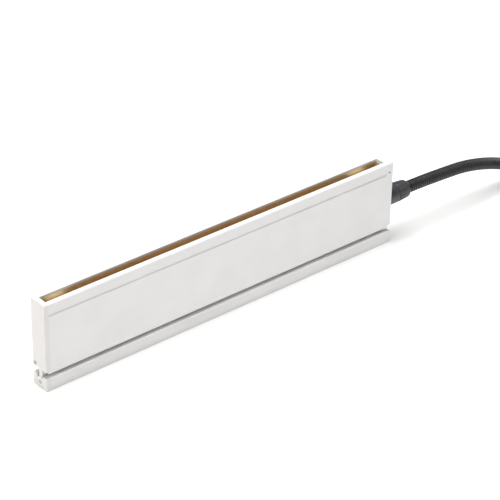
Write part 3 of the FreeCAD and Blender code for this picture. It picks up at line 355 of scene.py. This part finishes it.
@dataclass(frozen=True)
class FusedQuartz(Finish):
    """Clear fused quartz, drawn into tube.

    The eye sees a very clear glass with faint draw lines along its length.
    """

    line_mm: float = 1.2

    def detail(self, tree: bpy.types.NodeTree, shader: bpy.types.Node, where: bpy.types.NodeSocket) -> None:
        """Draw lines; the clear body is set on the shader's own sockets.

        Args:
            tree: the material's node tree.
            shader: its Principled shader.
            where: Object coordinates, in metres.
        """
        shader.inputs["Transmission Weight"].default_value = 1.0
        shader.inputs["IOR"].default_value = 1.458
        shader.inputs["Alpha"].default_value = 0.2
        drawn = add_node(tree, "Mapping", {"Vector": where, "Scale": (0.01, 1.0, 1.0)})
        lines = add_node(tree, "TexNoise", {"Vector": drawn.outputs["Vector"], "Scale": cycles(self.line_mm),
                                            "Detail": 2.0})
        self.gloss(tree, shader, lines.outputs["Fac"], 0.02, 0.07)
        self.relief(tree, shader, lines.outputs["Fac"], 0.03, 0.25)


@dataclass(frozen=True)
class OxidisedWire(Finish):
    """Iron-chromium-aluminium resistance wire with the pale alumina skin it grows at red heat.

    The eye sees a dry, cream-grey wire with darker and lighter turns.
    """

    patch_mm: float = 9.0
    grain_mm: float = 0.2

    def detail(self, tree: bpy.types.NodeTree, shader: bpy.types.Node, where: bpy.types.NodeSocket) -> None:
        """Patches of thicker and thinner oxide.

        Args:
            tree: the material's node tree.
            shader: its Principled shader.
            where: Object coordinates, in metres.
        """
        patch = add_node(tree, "TexNoise", {"Vector": where, "Scale": cycles(self.patch_mm), "Detail": 5.0})
        grain = add_node(tree, "TexNoise", {"Vector": where, "Scale": cycles(self.grain_mm), "Detail": 2.0})
        self.tint(tree, shader, patch.outputs["Fac"], "#CDBE9F", "#F4E8CF")
        self.gloss(tree, shader, patch.outputs["Fac"], self.roughness - 0.1, self.roughness + 0.15)
        self.relief(tree, shader, grain.outputs["Fac"], 0.01, 0.4)


@dataclass(frozen=True)
class FiredCeramic(Finish):
    """Pressed and fired steatite, unglazed.

    The eye sees a dry off-white body with fine grit and a few pin holes.
    """

    grit_mm: float = 0.3
    tone_mm: float = 14.0
    hole_mm: float = 2.2

    def detail(self, tree: bpy.types.NodeTree, shader: bpy.types.Node, where: bpy.types.NodeSocket) -> None:
        """Grit, pin holes and a faint firing tone.

        Args:
            tree: the material's node tree.
            shader: its Principled shader.
            where: Object coordinates, in metres.
        """
        tone = add_node(tree, "TexNoise", {"Vector": where, "Scale": cycles(self.tone_mm), "Detail": 4.0})
        grit = add_node(tree, "TexNoise", {"Vector": where, "Scale": cycles(self.grit_mm), "Detail": 3.0})
        holes = add_node(tree, "TexVoronoi", {"Vector": where, "Scale": cycles(self.hole_mm)})
        pits = ramp(tree, holes.outputs["Distance"], [(0.03, grey(0.0)), (0.09, grey(1.0))])
        height = add_node(tree, "Math", {0: grit.outputs["Fac"], 1: pits}, operation="ADD")
        self.tint(tree, shader, tone.outputs["Fac"], "#DDD6C6", "#EBE6DA")
        self.gloss(tree, shader, grit.outputs["Fac"], self.roughness - 0.08, self.roughness + 0.1)
        self.relief(tree, shader, height.outputs["Value"], 0.05, 0.4)


@dataclass(frozen=True)
class MattedFibre(Finish):
    """Vacuum-formed ceramic-fibre board.

    The eye sees a soft, chalky white felt of short crossed fibres.
    """

    fibre_mm: float = 0.5

    def detail(self, tree: bpy.types.NodeTree, shader: bpy.types.Node, where: bpy.types.NodeSocket) -> None:
        """Fibres that cross in two directions.

        Args:
            tree: the material's node tree.
            shader: its Principled shader.
            where: Object coordinates, in metres.
        """
        shader.inputs["Sheen Weight"].default_value = 0.2
        long_way = add_node(tree, "Mapping", {"Vector": where, "Scale": (0.15, 1.0, 1.0)})
        cross_way = add_node(tree, "Mapping", {"Vector": where, "Scale": (1.0, 0.15, 1.0)})
        scale = cycles(self.fibre_mm)
        first = add_node(tree, "TexNoise", {"Vector": long_way.outputs["Vector"], "Scale": scale})
        second = add_node(tree, "TexNoise", {"Vector": cross_way.outputs["Vector"], "Scale": scale})
        both = add_node(tree, "Math", {0: first.outputs["Fac"], 1: second.outputs["Fac"]}, operation="MAXIMUM")
        self.tint(tree, shader, both.outputs["Value"], "#D9D6CC", "#F0EEE8")
        self.gloss(tree, shader, both.outputs["Value"], 0.85, 1.0)
        self.relief(tree, shader, both.outputs["Value"], 0.2, 0.6)


@dataclass(frozen=True)
class MouldedPlastic(Finish):
    """Injection-moulded or extruded polyamide.

    The eye sees an even plastic with the fine spark texture of its tool and soft flow marks.
    """

    dark: str = "#1B1B1D"
    light: str = "#2C2C2F"
    texture_mm: float = 0.35
    depth_mm: float = 0.03
    flow_mm: float = 16.0

    def detail(self, tree: bpy.types.NodeTree, shader: bpy.types.Node, where: bpy.types.NodeSocket) -> None:
        """Tool texture and flow marks.

        Args:
            tree: the material's node tree.
            shader: its Principled shader.
            where: Object coordinates, in metres.
        """
        flow = add_node(tree, "TexNoise", {"Vector": where, "Scale": cycles(self.flow_mm), "Detail": 4.0,
                                           "Distortion": 0.6})
        spark = add_node(tree, "TexNoise", {"Vector": where, "Scale": cycles(self.texture_mm), "Detail": 2.0})
        self.tint(tree, shader, flow.outputs["Fac"], self.dark, self.light)
        self.gloss(tree, shader, flow.outputs["Fac"], self.roughness - 0.08, self.roughness + 0.1)
        self.relief(tree, shader, spark.outputs["Fac"], self.depth_mm, 0.35)


@dataclass(frozen=True)
class BraidedSleeve(Finish):
    """Glass-fibre braid, silicone impregnated, over a lamp lead.

    The eye sees a rust-red sleeve with crossed strands about a millimetre wide.
    """

    strand_mm: float = 0.9

    def detail(self, tree: bpy.types.NodeTree, shader: bpy.types.Node, where: bpy.types.NodeSocket) -> None:
        """Two sets of strands that cross.

        Args:
            tree: the material's node tree.
            shader: its Principled shader.
            where: Object coordinates, in metres.
        """
        one = add_node(tree, "TexWave", {"Vector": where, "Scale": cycles(self.strand_mm) / 3.0},
                       bands_direction="DIAGONAL")
        turned_way = add_node(tree, "Mapping", {"Vector": where, "Rotation": (0.0, 0.0, math.pi / 2)})
        two = add_node(tree, "TexWave", {"Vector": turned_way.outputs["Vector"],
                                         "Scale": cycles(self.strand_mm) / 3.0}, bands_direction="DIAGONAL")
        both = add_node(tree, "Math", {0: one.outputs["Fac"], 1: two.outputs["Fac"]}, operation="MULTIPLY")
        self.tint(tree, shader, both.outputs["Value"], "#6E2418", "#9C4030")
        self.relief(tree, shader, both.outputs["Value"], 0.12, 0.6)


@dataclass(frozen=True)
class CoreSheath(Finish):
    """Heat-resistant PVC over a supply core, with a second colour in stripes where it has one.

    The eye sees a smooth, slightly waxy wire.
    """

    stripe: str = ""
    bloom_mm: float = 3.0

    def detail(self, tree: bpy.types.NodeTree, shader: bpy.types.Node, where: bpy.types.NodeSocket) -> None:
        """The stripe and a faint wax bloom.

        Args:
            tree: the material's node tree.
            shader: its Principled shader.
            where: Object coordinates, in metres.
        """
        bloom = add_node(tree, "TexNoise", {"Vector": where, "Scale": cycles(self.bloom_mm), "Detail": 3.0})
        self.gloss(tree, shader, bloom.outputs["Fac"], self.roughness - 0.1, self.roughness + 0.1)
        self.relief(tree, shader, bloom.outputs["Fac"], 0.02, 0.2)
        if not self.stripe:
            return
        axes = add_node(tree, "SeparateXYZ", {"Vector": where})
        side = add_node(tree, "Math", {0: axes.outputs["Y"], 1: 0.0}, operation="GREATER_THAN")
        colour = ramp(tree, side.outputs["Value"], [(0.0, linear(self.colour)), (1.0, linear(self.stripe))])
        tree.links.new(colour, shader.inputs["Base Color"])


@dataclass(frozen=True)
class WovenWebbing(Finish):
    """Woven polyester strap.

    The eye sees flat black tape with a plain weave about three quarters of a millimetre across.
    """

    thread_mm: float = 0.75

    def detail(self, tree: bpy.types.NodeTree, shader: bpy.types.Node, where: bpy.types.NodeSocket) -> None:
        """A plain weave, drawn as staggered short blocks.

        Args:
            tree: the material's node tree.
            shader: its Principled shader.
            where: Object coordinates, in metres.
        """
        shader.inputs["Sheen Weight"].default_value = 0.3
        weave = add_node(tree, "TexBrick", {"Vector": where, "Scale": cycles(self.thread_mm) / 4.0,
                                            "Color1": grey(1.0), "Color2": grey(0.7), "Mortar": grey(0.0)})
        self.tint(tree, shader, weave.outputs["Color"], "#101011", "#242427")
        self.relief(tree, shader, weave.outputs["Color"], 0.15, 0.6)


WHITE = PowderCoat("white_powder_coat", "#E9E8E7", roughness=0.42, shade="#E4E3E2")
# Painted shade: a darker copy of the white coat, given only to the left end plate and left rail cap; the same
# parts at the right end are plain white.
WHITE_PAINTED_SHADE_LEFT_END = PowderCoat("white_powder_coat_painted_shade_left_end", "#E6E3E1", roughness=0.5, shade="#DFDCDA", peel_mm=1.0)
ACETAL = MouldedPlastic("white_acetal", "#EAE9E5", roughness=0.4, dark="#E5E4DF", light="#EFEEEB")
GOLD = GoldSheet("gold_anodised_reflector", "#F4DEAE", roughness=0.36, metallic=0.5)
SCREWS = DrawnSteel("stainless_screw_steel", "#B8B7B3", roughness=0.32, metallic=1.0)
SPRING = DrawnSteel("rolled_spring_steel", "#B4B3AE", roughness=0.28, metallic=1.0, along_x=0.05)
BRASS = DrawnSteel("turned_terminal_brass", "#C8A24E", roughness=0.3, metallic=1.0, dark="#BF9846",
                   light="#D6B264")
QUARTZ = FusedQuartz("clear_fused_quartz", "#FBFBF9", roughness=0.03)
WIRE = OxidisedWire("oxidised_heating_wire", "#E6DABF", roughness=0.55)
CERAMIC = FiredCeramic("fired_steatite", "#E6E0D3", roughness=0.7)
FIBRE = MattedFibre("ceramic_fibre_board", "#E8E5DC", roughness=0.95)
NYLON = MouldedPlastic("natural_nylon", "#D8D4C6", roughness=0.45, dark="#D2CDBD", light="#DFDBCF")
SILICONE = MouldedPlastic("grey_silicone", "#8C8A85", roughness=0.6, dark="#807E79", light="#979590")
SLEEVE = BraidedSleeve("braided_lamp_sleeve", "#8A3426", roughness=0.7)
BROWN = CoreSheath("brown_core_pvc", "#4A2A17", roughness=0.4)
BLUE = CoreSheath("blue_core_pvc", "#1C4E8C", roughness=0.4)
EARTH = CoreSheath("green_yellow_core_pvc", "#2E7A2E", roughness=0.4, stripe="#D9C61F")
GLAND_PLASTIC = MouldedPlastic("black_moulded_polyamide", "#3B3B3D", roughness=0.36, dark="#343436",
                               light="#424244")
CONDUIT_PLASTIC = MouldedPlastic("black_corrugated_polyamide", "#2A2A2C", roughness=0.3, dark="#232325",
                                 light="#303032", texture_mm=0.6, depth_mm=0.02)
RUBBER = MouldedPlastic("black_seal_rubber", "#171717", roughness=0.75)
WEBBING = WovenWebbing("woven_tie_webbing", "#18181A", roughness=0.85)

CAD_FINISHES: dict[str, Finish] = {
    # The left end plate and left rail cap take the darker white copy, as painted shade.
    "mounting_rail": WHITE, "rail_cap_left": WHITE_PAINTED_SHADE_LEFT_END, "rail_cap_right": WHITE, "channel_liner": NYLON,
    "tilt_lock_screws": SCREWS, "housing_profile": WHITE, "bead_washers": ACETAL, "bead_screws": SCREWS,
    "end_plate_left": WHITE_PAINTED_SHADE_LEFT_END, "end_plate_right": WHITE, "left_plate_screw": SCREWS,
    "right_plate_screws": SCREWS, "earth_test_screw": SCREWS, "reflector": GOLD, "insulation_bed": FIBRE,
    "quartz_tube": QUARTZ, "heating_coil": WIRE, "ceramic_cap_left": CERAMIC, "ceramic_cap_right": CERAMIC,
    "lamp_holder_left": SPRING, "lamp_holder_right": SPRING, "holder_screws": SCREWS,
    "web_grommets": SILICONE, "lamp_lead_left": SLEEVE, "lamp_lead_right": SLEEVE,
    "terminal_block": CERAMIC, "terminal_screws": BRASS, "block_screw": SCREWS, "earth_screw": BRASS,
    "live_core": BROWN, "earth_core": EARTH, "neutral_core": BLUE, "gland_body": GLAND_PLASTIC,
    "gland_seal": RUBBER, "connector_pins": BRASS,
}


def dress_cad_nodes() -> None:
    """Gives every CAD node that stays in sight its finish."""
    for name, finish in CAD_FINISHES.items():
        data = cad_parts[name].data
        data.materials.clear()
        data.materials.append(finish.material())
        LOG.info("%s is finished in %s", name, finish.name)


# ---- conduit ------------------------------------------------------------------------------------
# How far along from the gland's face, and how high.
RUN_POINTS_MM = ((0.0, 56.0), (51.0, 56.0), (96.0, 53.9), (136.0, 51.4), (179.0, 41.0), (219.0, 25.0),
                 (261.0, 8.4), (318.0, 8.4))


@dataclass(frozen=True)
class ConduitRoute:
    """The conduit's centreline: out of the gland, down to the surface, and round its put-away coil."""

    start_x: float = 0.249
    run_length: float = 0.318
    rest_z: float = 0.0084
    diameter: float = 0.015
    loop_r: float = 0.084
    one_turn: float = 360.0
    step_deg: float = 60.0
    lift_deg: float = 900.0
    end_deg: float = 980.0
    points_per_coil: int = 44
    tail_z: float = 0.0282
    tail: float = 0.026

    def run(self) -> list[Vector]:
        """The stretch that isn't coiled, through the same points as the CAD tube's."""
        return [Vector((self.start_x + along * MM, 0.0, height * MM)) for along, height in RUN_POINTS_MM]

    def centre(self) -> Vector:
        """The middle of the coil, on the surface."""
        return Vector((self.start_x + self.run_length, -self.loop_r, 0.0))

    def turn(self, degrees: float) -> tuple[float, float]:
        """The coil's radius and height after it has turned so far.

        Args:
            degrees: how far round, from where the coil starts.

        Returns:
            The radius and the height, in metres.
        """
        step = self.diameter
        inner, nest = self.loop_r - step, self.loop_r - step / 2
        first, second = self.one_turn, 2 * self.one_turn
        if degrees <= first - self.step_deg:
            return self.loop_r, self.rest_z
        if degrees <= first:
            share = self.ease((degrees - first + self.step_deg) / self.step_deg)
            return self.loop_r - step * share, self.rest_z
        if degrees <= second - 2 * self.step_deg:
            return inner, self.rest_z
        if degrees <= second - self.step_deg:
            share = self.ease((degrees - second + 2 * self.step_deg) / self.step_deg)
            lift = math.radians(60) * share
            return self.loop_r - step * math.cos(lift), self.rest_z + step * math.sin(lift)
        if degrees <= second:
            under = self.loop_r - step * self.ease((degrees - second + self.step_deg) / self.step_deg)
            return nest, self.rest_z + math.sqrt(step ** 2 - (nest - under) ** 2)
        top = self.rest_z + step * math.sin(math.radians(60))
        if degrees <= self.lift_deg:
            return nest, top
        share = self.ease((degrees - self.lift_deg) / (self.end_deg - self.lift_deg))
        return nest, top + (self.tail_z - top) * share

    def ease(self, share: float) -> float:
        """Turns an even change from 0 to 1 into a smooth one."""
        share = min(max(share, 0.0), 1.0)
        return share * share * (3 - 2 * share)

    def place(self, degrees: float, radius: float, height: float) -> Vector:
        """A point of the coil, which runs clockwise seen from above."""
        angle = math.radians(degrees)
        return self.centre() + Vector((radius * math.sin(angle), radius * math.cos(angle), height))

    def coil(self) -> list[Vector]:
        """Places the coil's control points, on the corners round each turn, and the straight tail's end.

        Returns:
            The points, in order.
        """
        step = self.end_deg / self.points_per_coil
        spread = 1 / math.cos(math.radians(step / 2))
        points = []
        for i in range(self.points_per_coil):
            degrees = (i + 0.5) * step
            radius, height = self.turn(degrees)
            points.append(self.place(degrees, radius * spread, height))
        radius, _ = self.turn(self.end_deg)
        last = self.place(self.end_deg, radius, self.tail_z)
        angle = math.radians(self.end_deg)
        points.append(last + Vector((math.cos(angle), -math.sin(angle), 0.0)) * self.tail)
        return points

    def on_tail(self, distance: float, back: bool = False) -> Matrix:
        """The place of a fitting on the straight tail.

        Args:
            distance: how far along the tail, in metres.
            back: whether the fitting points back towards the coil.

        Returns:
            A matrix whose X axis runs along the tail.
        """
        angle = math.radians(self.end_deg)
        on = Vector((math.cos(angle), -math.sin(angle), 0.0))
        radius, _ = self.turn(self.end_deg)
        origin = self.place(self.end_deg, radius, self.tail_z) + on * distance
        ahead = -on if back else on
        up = Vector((0.0, 0.0, 1.0))
        axes = Matrix((ahead, up.cross(ahead), up)).transposed()
        return Matrix.Translation(origin) @ axes.to_4x4()

    def line(self) -> list[Vector]:
        """Reads the centreline from the NURBS spline that all the control points make.

        Returns:
            Close points along it, from the gland to the connector.
        """
        control = self.run() + self.coil()
        curve = bpy.data.curves.new("conduit_route", "CURVE")
        curve.dimensions = "3D"
        curve.resolution_u = 16
        spline = curve.splines.new("NURBS")
        spline.points.add(len(control) - 1)
        for point, place in zip(spline.points, control):
            point.co = (*place, 1.0)
        spline.order_u = 3
        spline.use_endpoint_u = True
        holder = bpy.data.objects.new("conduit_route", curve)
        bpy.context.scene.collection.objects.link(holder)
        data = bpy.data.meshes.new_from_object(holder)
        points = [v.co.copy() for v in data.vertices]
        bpy.data.meshes.remove(data)
        bpy.data.objects.remove(holder)
        bpy.data.curves.remove(curve)
        return points


@dataclass(frozen=True)
class CorrugatedConduit:
    """Black corrugated conduit: ring-shaped ridges along the route."""

    route: ConduitRoute = ConduitRoute()
    crest_r: float = 0.0075
    valley_r: float = 0.0059
    pitch: float = 0.0036
    sides: int = 16
    # One ridge: the share of the pitch, and how far up from valley to crest.
    samples: tuple[tuple[float, float], ...] = ((0.0, 0.0), (0.26, 0.0), (0.4, 0.85), (0.5, 1.0), (0.74, 1.0),
                                               (0.86, 0.85))

    def rings(self, length: float) -> list[tuple[float, float]]:
        """(distance, radius) of every ring of vertices along the conduit.

        Args:
            length: the whole length of the centreline.

        Returns:
            The rings, from one end to the other.
        """
        count = int(length / self.pitch)
        pitch = length / count
        deep = self.crest_r - self.valley_r
        rings = [((i + share) * pitch, self.valley_r + deep * rise)
                 for i in range(count) for share, rise in self.samples]
        return rings + [(length, self.valley_r)]

    def build(self, riders: list[bpy.types.Object]) -> bpy.types.Object:
        """Makes the conduit along its route.

        Args:
            riders: the connector's pieces and the ties, which are on the conduit; not used.

        Returns:
            The conduit.
        """
        line = self.route.line()
        reach = [0.0]
        for a, b in zip(line, line[1:]):
            reach.append(reach[-1] + (b - a).length)
        rings = self.rings(reach[-1])
        mesh = bmesh.new()
        bmesh.ops.create_grid(mesh, x_segments=len(rings) - 1, y_segments=self.sides, size=0.5)
        frames = self.frames(line, reach, [at for at, _ in rings])
        for vert in mesh.verts:
            index = round((vert.co.x + 0.5) * (len(rings) - 1))
            angle = 2 * math.pi * (vert.co.y + 0.5)
            place, across, up = frames[index]
            radius = rings[index][1]
            vert.co = place + (across * math.cos(angle) + up * math.sin(angle)) * radius
        bmesh.ops.remove_doubles(mesh, verts=mesh.verts, dist=1e-6)
        bmesh.ops.holes_fill(mesh, edges=[e for e in mesh.edges if e.is_boundary], sides=0)
        piece = finished_object("corrugated_conduit", mesh, CONDUIT_PLASTIC, smooth_deg=60)
        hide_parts("conduit_run", "conduit_coil")
        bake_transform(piece)
        LOG.info("conduit is %.3f m long", reach[-1])
        return piece

    def frames(self, line: list[Vector], reach: list[float],
               wanted: list[float]) -> list[tuple[Vector, Vector, Vector]]:
        """The place and the two cross directions at distances along a line.

        Args:
            line: the centreline's points.
            reach: the distance of each of those points.
            wanted: the distances to give, rising.

        Returns:
            For each distance, the place, the direction across and the direction up.
        """
        found = []
        i = 0
        for at in wanted:
            while i < len(reach) - 2 and reach[i + 1] < at:
                i += 1
            share = (at - reach[i]) / max(reach[i + 1] - reach[i], 1e-9)
            before, after = line[max(i - 1, 0)], line[min(i + 2, len(line) - 1)]
            way = ((line[i] - before).normalized() * (1 - share) + (after - line[i + 1]).normalized() * share
                   + (line[i + 1] - line[i]).normalized()).normalized()
            across = Vector((0, 0, 1)).cross(way).normalized()
            found.append((line[i].lerp(line[i + 1], share), across, way.cross(across)))
        return found


# ---- fittings on the conduit --------------------------------------------------------------------
@dataclass(frozen=True)
class GripFitting:
    """A moulded round fitting along X, with grip ribs round part of its length. Its sizes are in mm."""

    name: str
    node: str
    body: Body
    profile: tuple[tuple[float, float], ...]
    ribs: int
    rib_from: float
    rib_to: float
    rib_height: float
    columns: int = 8
    rib_share: float = 0.6
    rib_phase: float = 0.01
    corner_deg: float = 40.0
    edge_round: float = 0.2

    def build(self, place: Matrix) -> bpy.types.Object:
        """Makes the fitting where it belongs.

        Args:
            place: the matrix that takes it there from the origin.

        Returns:
            The fitting.
        """
        mesh = turned([(x * MM, radius * MM) for x, radius in self.profile], self.ribs * self.columns)
        outside = max(radius for _, radius in self.profile) - self.rib_height * 1.5
        for vert in mesh.verts:
            radius = math.hypot(vert.co.y, vert.co.z)
            if self.rib_from <= vert.co.x / MM <= self.rib_to and radius > outside * MM:
                self.lift(vert, radius)
        bmesh.ops.recalc_face_normals(mesh, faces=mesh.faces)
        limit = math.radians(self.corner_deg)
        corners = [e for e in mesh.edges if len(e.link_faces) == 2 and e.calc_face_angle(0.0) > limit]
        bmesh.ops.bevel(mesh, geom=corners, offset=self.edge_round * MM, offset_type="OFFSET", segments=2,
                        profile=0.5, affect="EDGES", clamp_overlap=True, material=-1)
        bmesh.ops.transform(mesh, matrix=place, verts=mesh.verts)
        piece = finished_object(self.name, mesh, GLAND_PLASTIC)
        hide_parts(self.node)
        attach(piece, self.body.value)
        LOG.info("%s is made", self.name)
        return piece

    def lift(self, vert: bmesh.types.BMVert, radius: float) -> None:
        """Moves a point outwards where a rib stands.

        Args:
            vert: the point.
            radius: its distance from the X axis, in metres.
        """
        share = (math.atan2(vert.co.z, vert.co.y) / (2 * math.pi) * self.ribs + self.rib_phase) % 1.0
        if share < self.rib_share:
            grown = (radius + self.rib_height * MM) / radius
            vert.co.y *= grown
            vert.co.z *= grown


@dataclass(frozen=True)
class CoilTies:
    """Two woven straps, each drawn tight round all the coil's turns."""

    route: ConduitRoute
    at_deg: tuple[float, ...] = (45.0, 165.0)
    width: float = 0.009
    thickness: float = 0.0007
    slack: float = 0.0002
    sides: int = 48

    def build(self) -> bpy.types.Object:
        """Makes both straps as one piece.

        Returns:
            The straps.
        """
        mesh = bmesh.new()
        for degrees in self.at_deg:
            self.strap(mesh, degrees)
        piece = finished_object("woven_coil_ties", mesh, WEBBING, smooth_deg=50)
        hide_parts("coil_ties")
        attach(piece, Body.RAIL.value)
        LOG.info("coil ties are made")
        return piece

    def strap(self, mesh: bmesh.types.BMesh, degrees: float) -> None:
        """Adds one strap.

        Args:
            mesh: the mesh that it is added to.
            degrees: where round the coil it sits.
        """
        part = bmesh.new()
        turns = [self.route.turn(degrees + lap) for lap in (0.0, 360.0, 720.0)]
        way = self.route.place(degrees, 1.0, 0.0) - self.route.centre()
        across = Vector((0.0, 0.0, 1.0)).cross(way)
        axes = Matrix((way, Vector((0.0, 0.0, 1.0)), -across)).transposed().to_4x4()
        bore = self.route.diameter / 2 + self.slack
        for radius, height in turns:
            bmesh.ops.create_cone(part, cap_ends=True, segments=self.sides, radius1=bore, radius2=bore,
                                  depth=self.width, matrix=Matrix.Translation((radius, height, 0.0)))
        hull = bmesh.ops.convex_hull(part, input=part.verts)
        bmesh.ops.delete(part, geom=hull["geom_interior"] + hull["geom_unused"], context="VERTS")
        bmesh.ops.recalc_face_normals(part, faces=part.faces)
        ends = [f for f in part.faces if abs(f.normal.z) > 0.9]
        bmesh.ops.delete(part, geom=ends, context="FACES")
        bmesh.ops.solidify(part, geom=part.faces, thickness=-self.thickness)
        place = Matrix.Translation(self.route.centre()) @ axes
        bmesh.ops.transform(part, matrix=place, verts=part.verts)
        data = bpy.data.meshes.new("strap")
        part.to_mesh(data)
        part.free()
        mesh.from_mesh(data)
        bpy.data.meshes.remove(data)


GLAND_NUT = GripFitting(
    name="ribbed_gland_nut", node="gland_nut", body=Body.LAMP, ribs=14, rib_from=1.9, rib_to=14.2,
    rib_height=1.0,
    profile=((0.0, 9.9), (0.0, 10.4), (0.6, 11.1), (1.2, 11.0), (1.9, 11.0), (14.2, 11.0), (15.0, 11.0),
             (16.2, 10.8), (17.2, 10.2), (17.7, 9.2), (17.7, 7.6), (11.6, 7.6), (11.6, 9.9)))
CONNECTOR_NUT = GripFitting(
    name="ribbed_connector_nut", node="connector_nut", body=Body.RAIL, ribs=16, rib_from=1.9, rib_to=13.4,
    rib_height=0.7,
    profile=((0.0, 7.6), (0.0, 9.8), (0.6, 10.4), (1.2, 10.5), (1.9, 10.5), (13.4, 10.5), (14.2, 10.5),
             (15.6, 10.2), (16.5, 9.5), (17.0, 8.6), (17.0, 7.6)))
CONNECTOR_BODY = GripFitting(
    name="fluted_connector_body", node="connector_body", body=Body.RAIL, ribs=18, rib_from=6.0, rib_to=25.0,
    rib_height=0.6,
    profile=((0.0, 0.0), (0.0, 9.6), (1.2, 10.9), (3.0, 11.4), (5.2, 11.4), (6.0, 11.4), (25.0, 11.4),
             (25.8, 11.4), (28.9, 11.4), (29.8, 10.4), (36.0, 10.4), (36.6, 10.0), (38.0, 10.0), (38.6, 10.4),
             (48.0, 10.4), (48.0, 8.6), (39.0, 8.6), (39.0, 0.0)))


# Where the gland's nut starts, and how far short of the tail's end the connector's nut starts.
GLAND_NUT_PLACE = (0.2663, 0.0, 0.056)
CONNECTOR_NUT_GAP = 0.0003


# ---- room ---------------------------------------------------------------------------------------
@dataclass(frozen=True)
class PaperSweep(Finish):
    """A roll of white studio paper: a matt sheet with a faint tooth."""

    tooth_mm: float = 2.0

    def detail(self, tree: bpy.types.NodeTree, shader: bpy.types.Node, where: bpy.types.NodeSocket) -> None:
        """Adds the paper's tooth."""
        tooth = add_node(tree, "TexNoise", {"Vector": where, "Scale": cycles(self.tooth_mm), "Detail": 2.0})
        self.relief(tree, shader, tooth.outputs["Fac"], 0.02, 0.1)


@dataclass(frozen=True)
class Softbox:
    """One large, even light."""

    name: str
    place: tuple[float, float, float]
    aim: tuple[float, float, float]
    size: float
    watts: float

    def build(self) -> None:
        """Makes the light and turns it to face its aim."""
        data = bpy.data.lights.new(self.name, "AREA")
        data.shape = "SQUARE"
        data.size = self.size
        data.energy = self.watts
        light = bpy.data.objects.new(self.name, data)
        light.location = self.place
        way = Vector(self.aim) - Vector(self.place)
        light.rotation_euler = way.to_track_quat("-Z", "Y").to_euler()
        bpy.context.scene.collection.objects.link(light)


@dataclass(frozen=True)
class Studio:
    """A pale floor, soft light and the camera."""

    eye: tuple[float, float, float] = (-1.3508, -1.6042, 1.3333)
    azimuth_deg: float = 40.965
    elevation_deg: float = 30.920
    roll_deg: float = 1.109
    lens_mm: float = 158.4
    sensor_mm: float = 36.0
    floor_half: float = 6.0
    sky_strength: float = 0.24
    lights: tuple[Softbox, ...] = (
        Softbox("side_softbox", (-2.7, -0.3, 1.0), (0.0, 0, 0.05), 2.0, 22.0),
        Softbox("top_softbox", (0.05, 0.15, 2.6), (0.0, 0, 0.05), 2.2, 98.0),
        Softbox("front_softbox", (0.3, -2.6, 0.5), (0.0, 0, 0.05), 1.6, 3.0),
    )

    def build(self) -> None:
        """Makes the floor, the lights and the camera."""
        self.floor()
        self.world()
        for softbox in self.lights:
            softbox.build()
        self.camera()

    def floor(self) -> None:
        """The pale floor that the lamp stands on."""
        mesh = bmesh.new()
        bmesh.ops.create_grid(mesh, x_segments=4, y_segments=4, size=self.floor_half)
        paper = PaperSweep("white_paper_sweep", "#F7F7F6", roughness=0.9)
        piece = finished_object("floor", mesh, paper)

    def world(self) -> None:
        """An even white sky."""
        world = bpy.data.worlds.new("studio")
        world.use_nodes = True
        background = world.node_tree.nodes["Background"]
        background.inputs["Color"].default_value = linear("#FFFFFF")
        background.inputs["Strength"].default_value = self.sky_strength
        bpy.context.scene.world = world
        bpy.context.scene.view_settings.view_transform = "Standard"

    def camera(self) -> None:
        """The camera, turned by its azimuth, elevation and roll."""
        azimuth, elevation = math.radians(self.azimuth_deg), math.radians(self.elevation_deg)
        roll = math.radians(self.roll_deg)
        ahead = Vector((math.sin(azimuth) * math.cos(elevation), math.cos(azimuth) * math.cos(elevation),
                        -math.sin(elevation)))
        right = Vector((math.cos(azimuth), -math.sin(azimuth), 0.0))
        up = right.cross(ahead)
        tilted_right = right * math.cos(roll) + up * math.sin(roll)
        tilted_up = up * math.cos(roll) - right * math.sin(roll)
        data = bpy.data.cameras.new("camera")
        data.lens = self.lens_mm
        data.sensor_width = self.sensor_mm
        data.clip_start, data.clip_end = 0.05, 50.0
        camera = bpy.data.objects.new("camera", data)
        axes = Matrix((tilted_right, tilted_up, -ahead)).transposed()
        camera.matrix_world = Matrix.Translation(Vector(self.eye)) @ axes.to_4x4()
        bpy.context.scene.collection.objects.link(camera)
        bpy.context.scene.camera = camera


def main() -> None:
    """Builds every piece, the room and the camera."""
    logging.basicConfig(level=logging.INFO, format="%(name)s: %(message)s")
    Studio().build()
    dress_cad_nodes()
    route = ConduitRoute()
    GLAND_NUT.build(Matrix.Translation(GLAND_NUT_PLACE))
    riders = [
        CONNECTOR_NUT.build(route.on_tail(route.tail - CONNECTOR_NUT_GAP, back=True)),
        CONNECTOR_BODY.build(route.on_tail(route.tail)),
        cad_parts["connector_pins"],
        CoilTies(route).build(),
    ]
    CorrugatedConduit(route).build(riders)


if __name__ == "__main__":
    main()
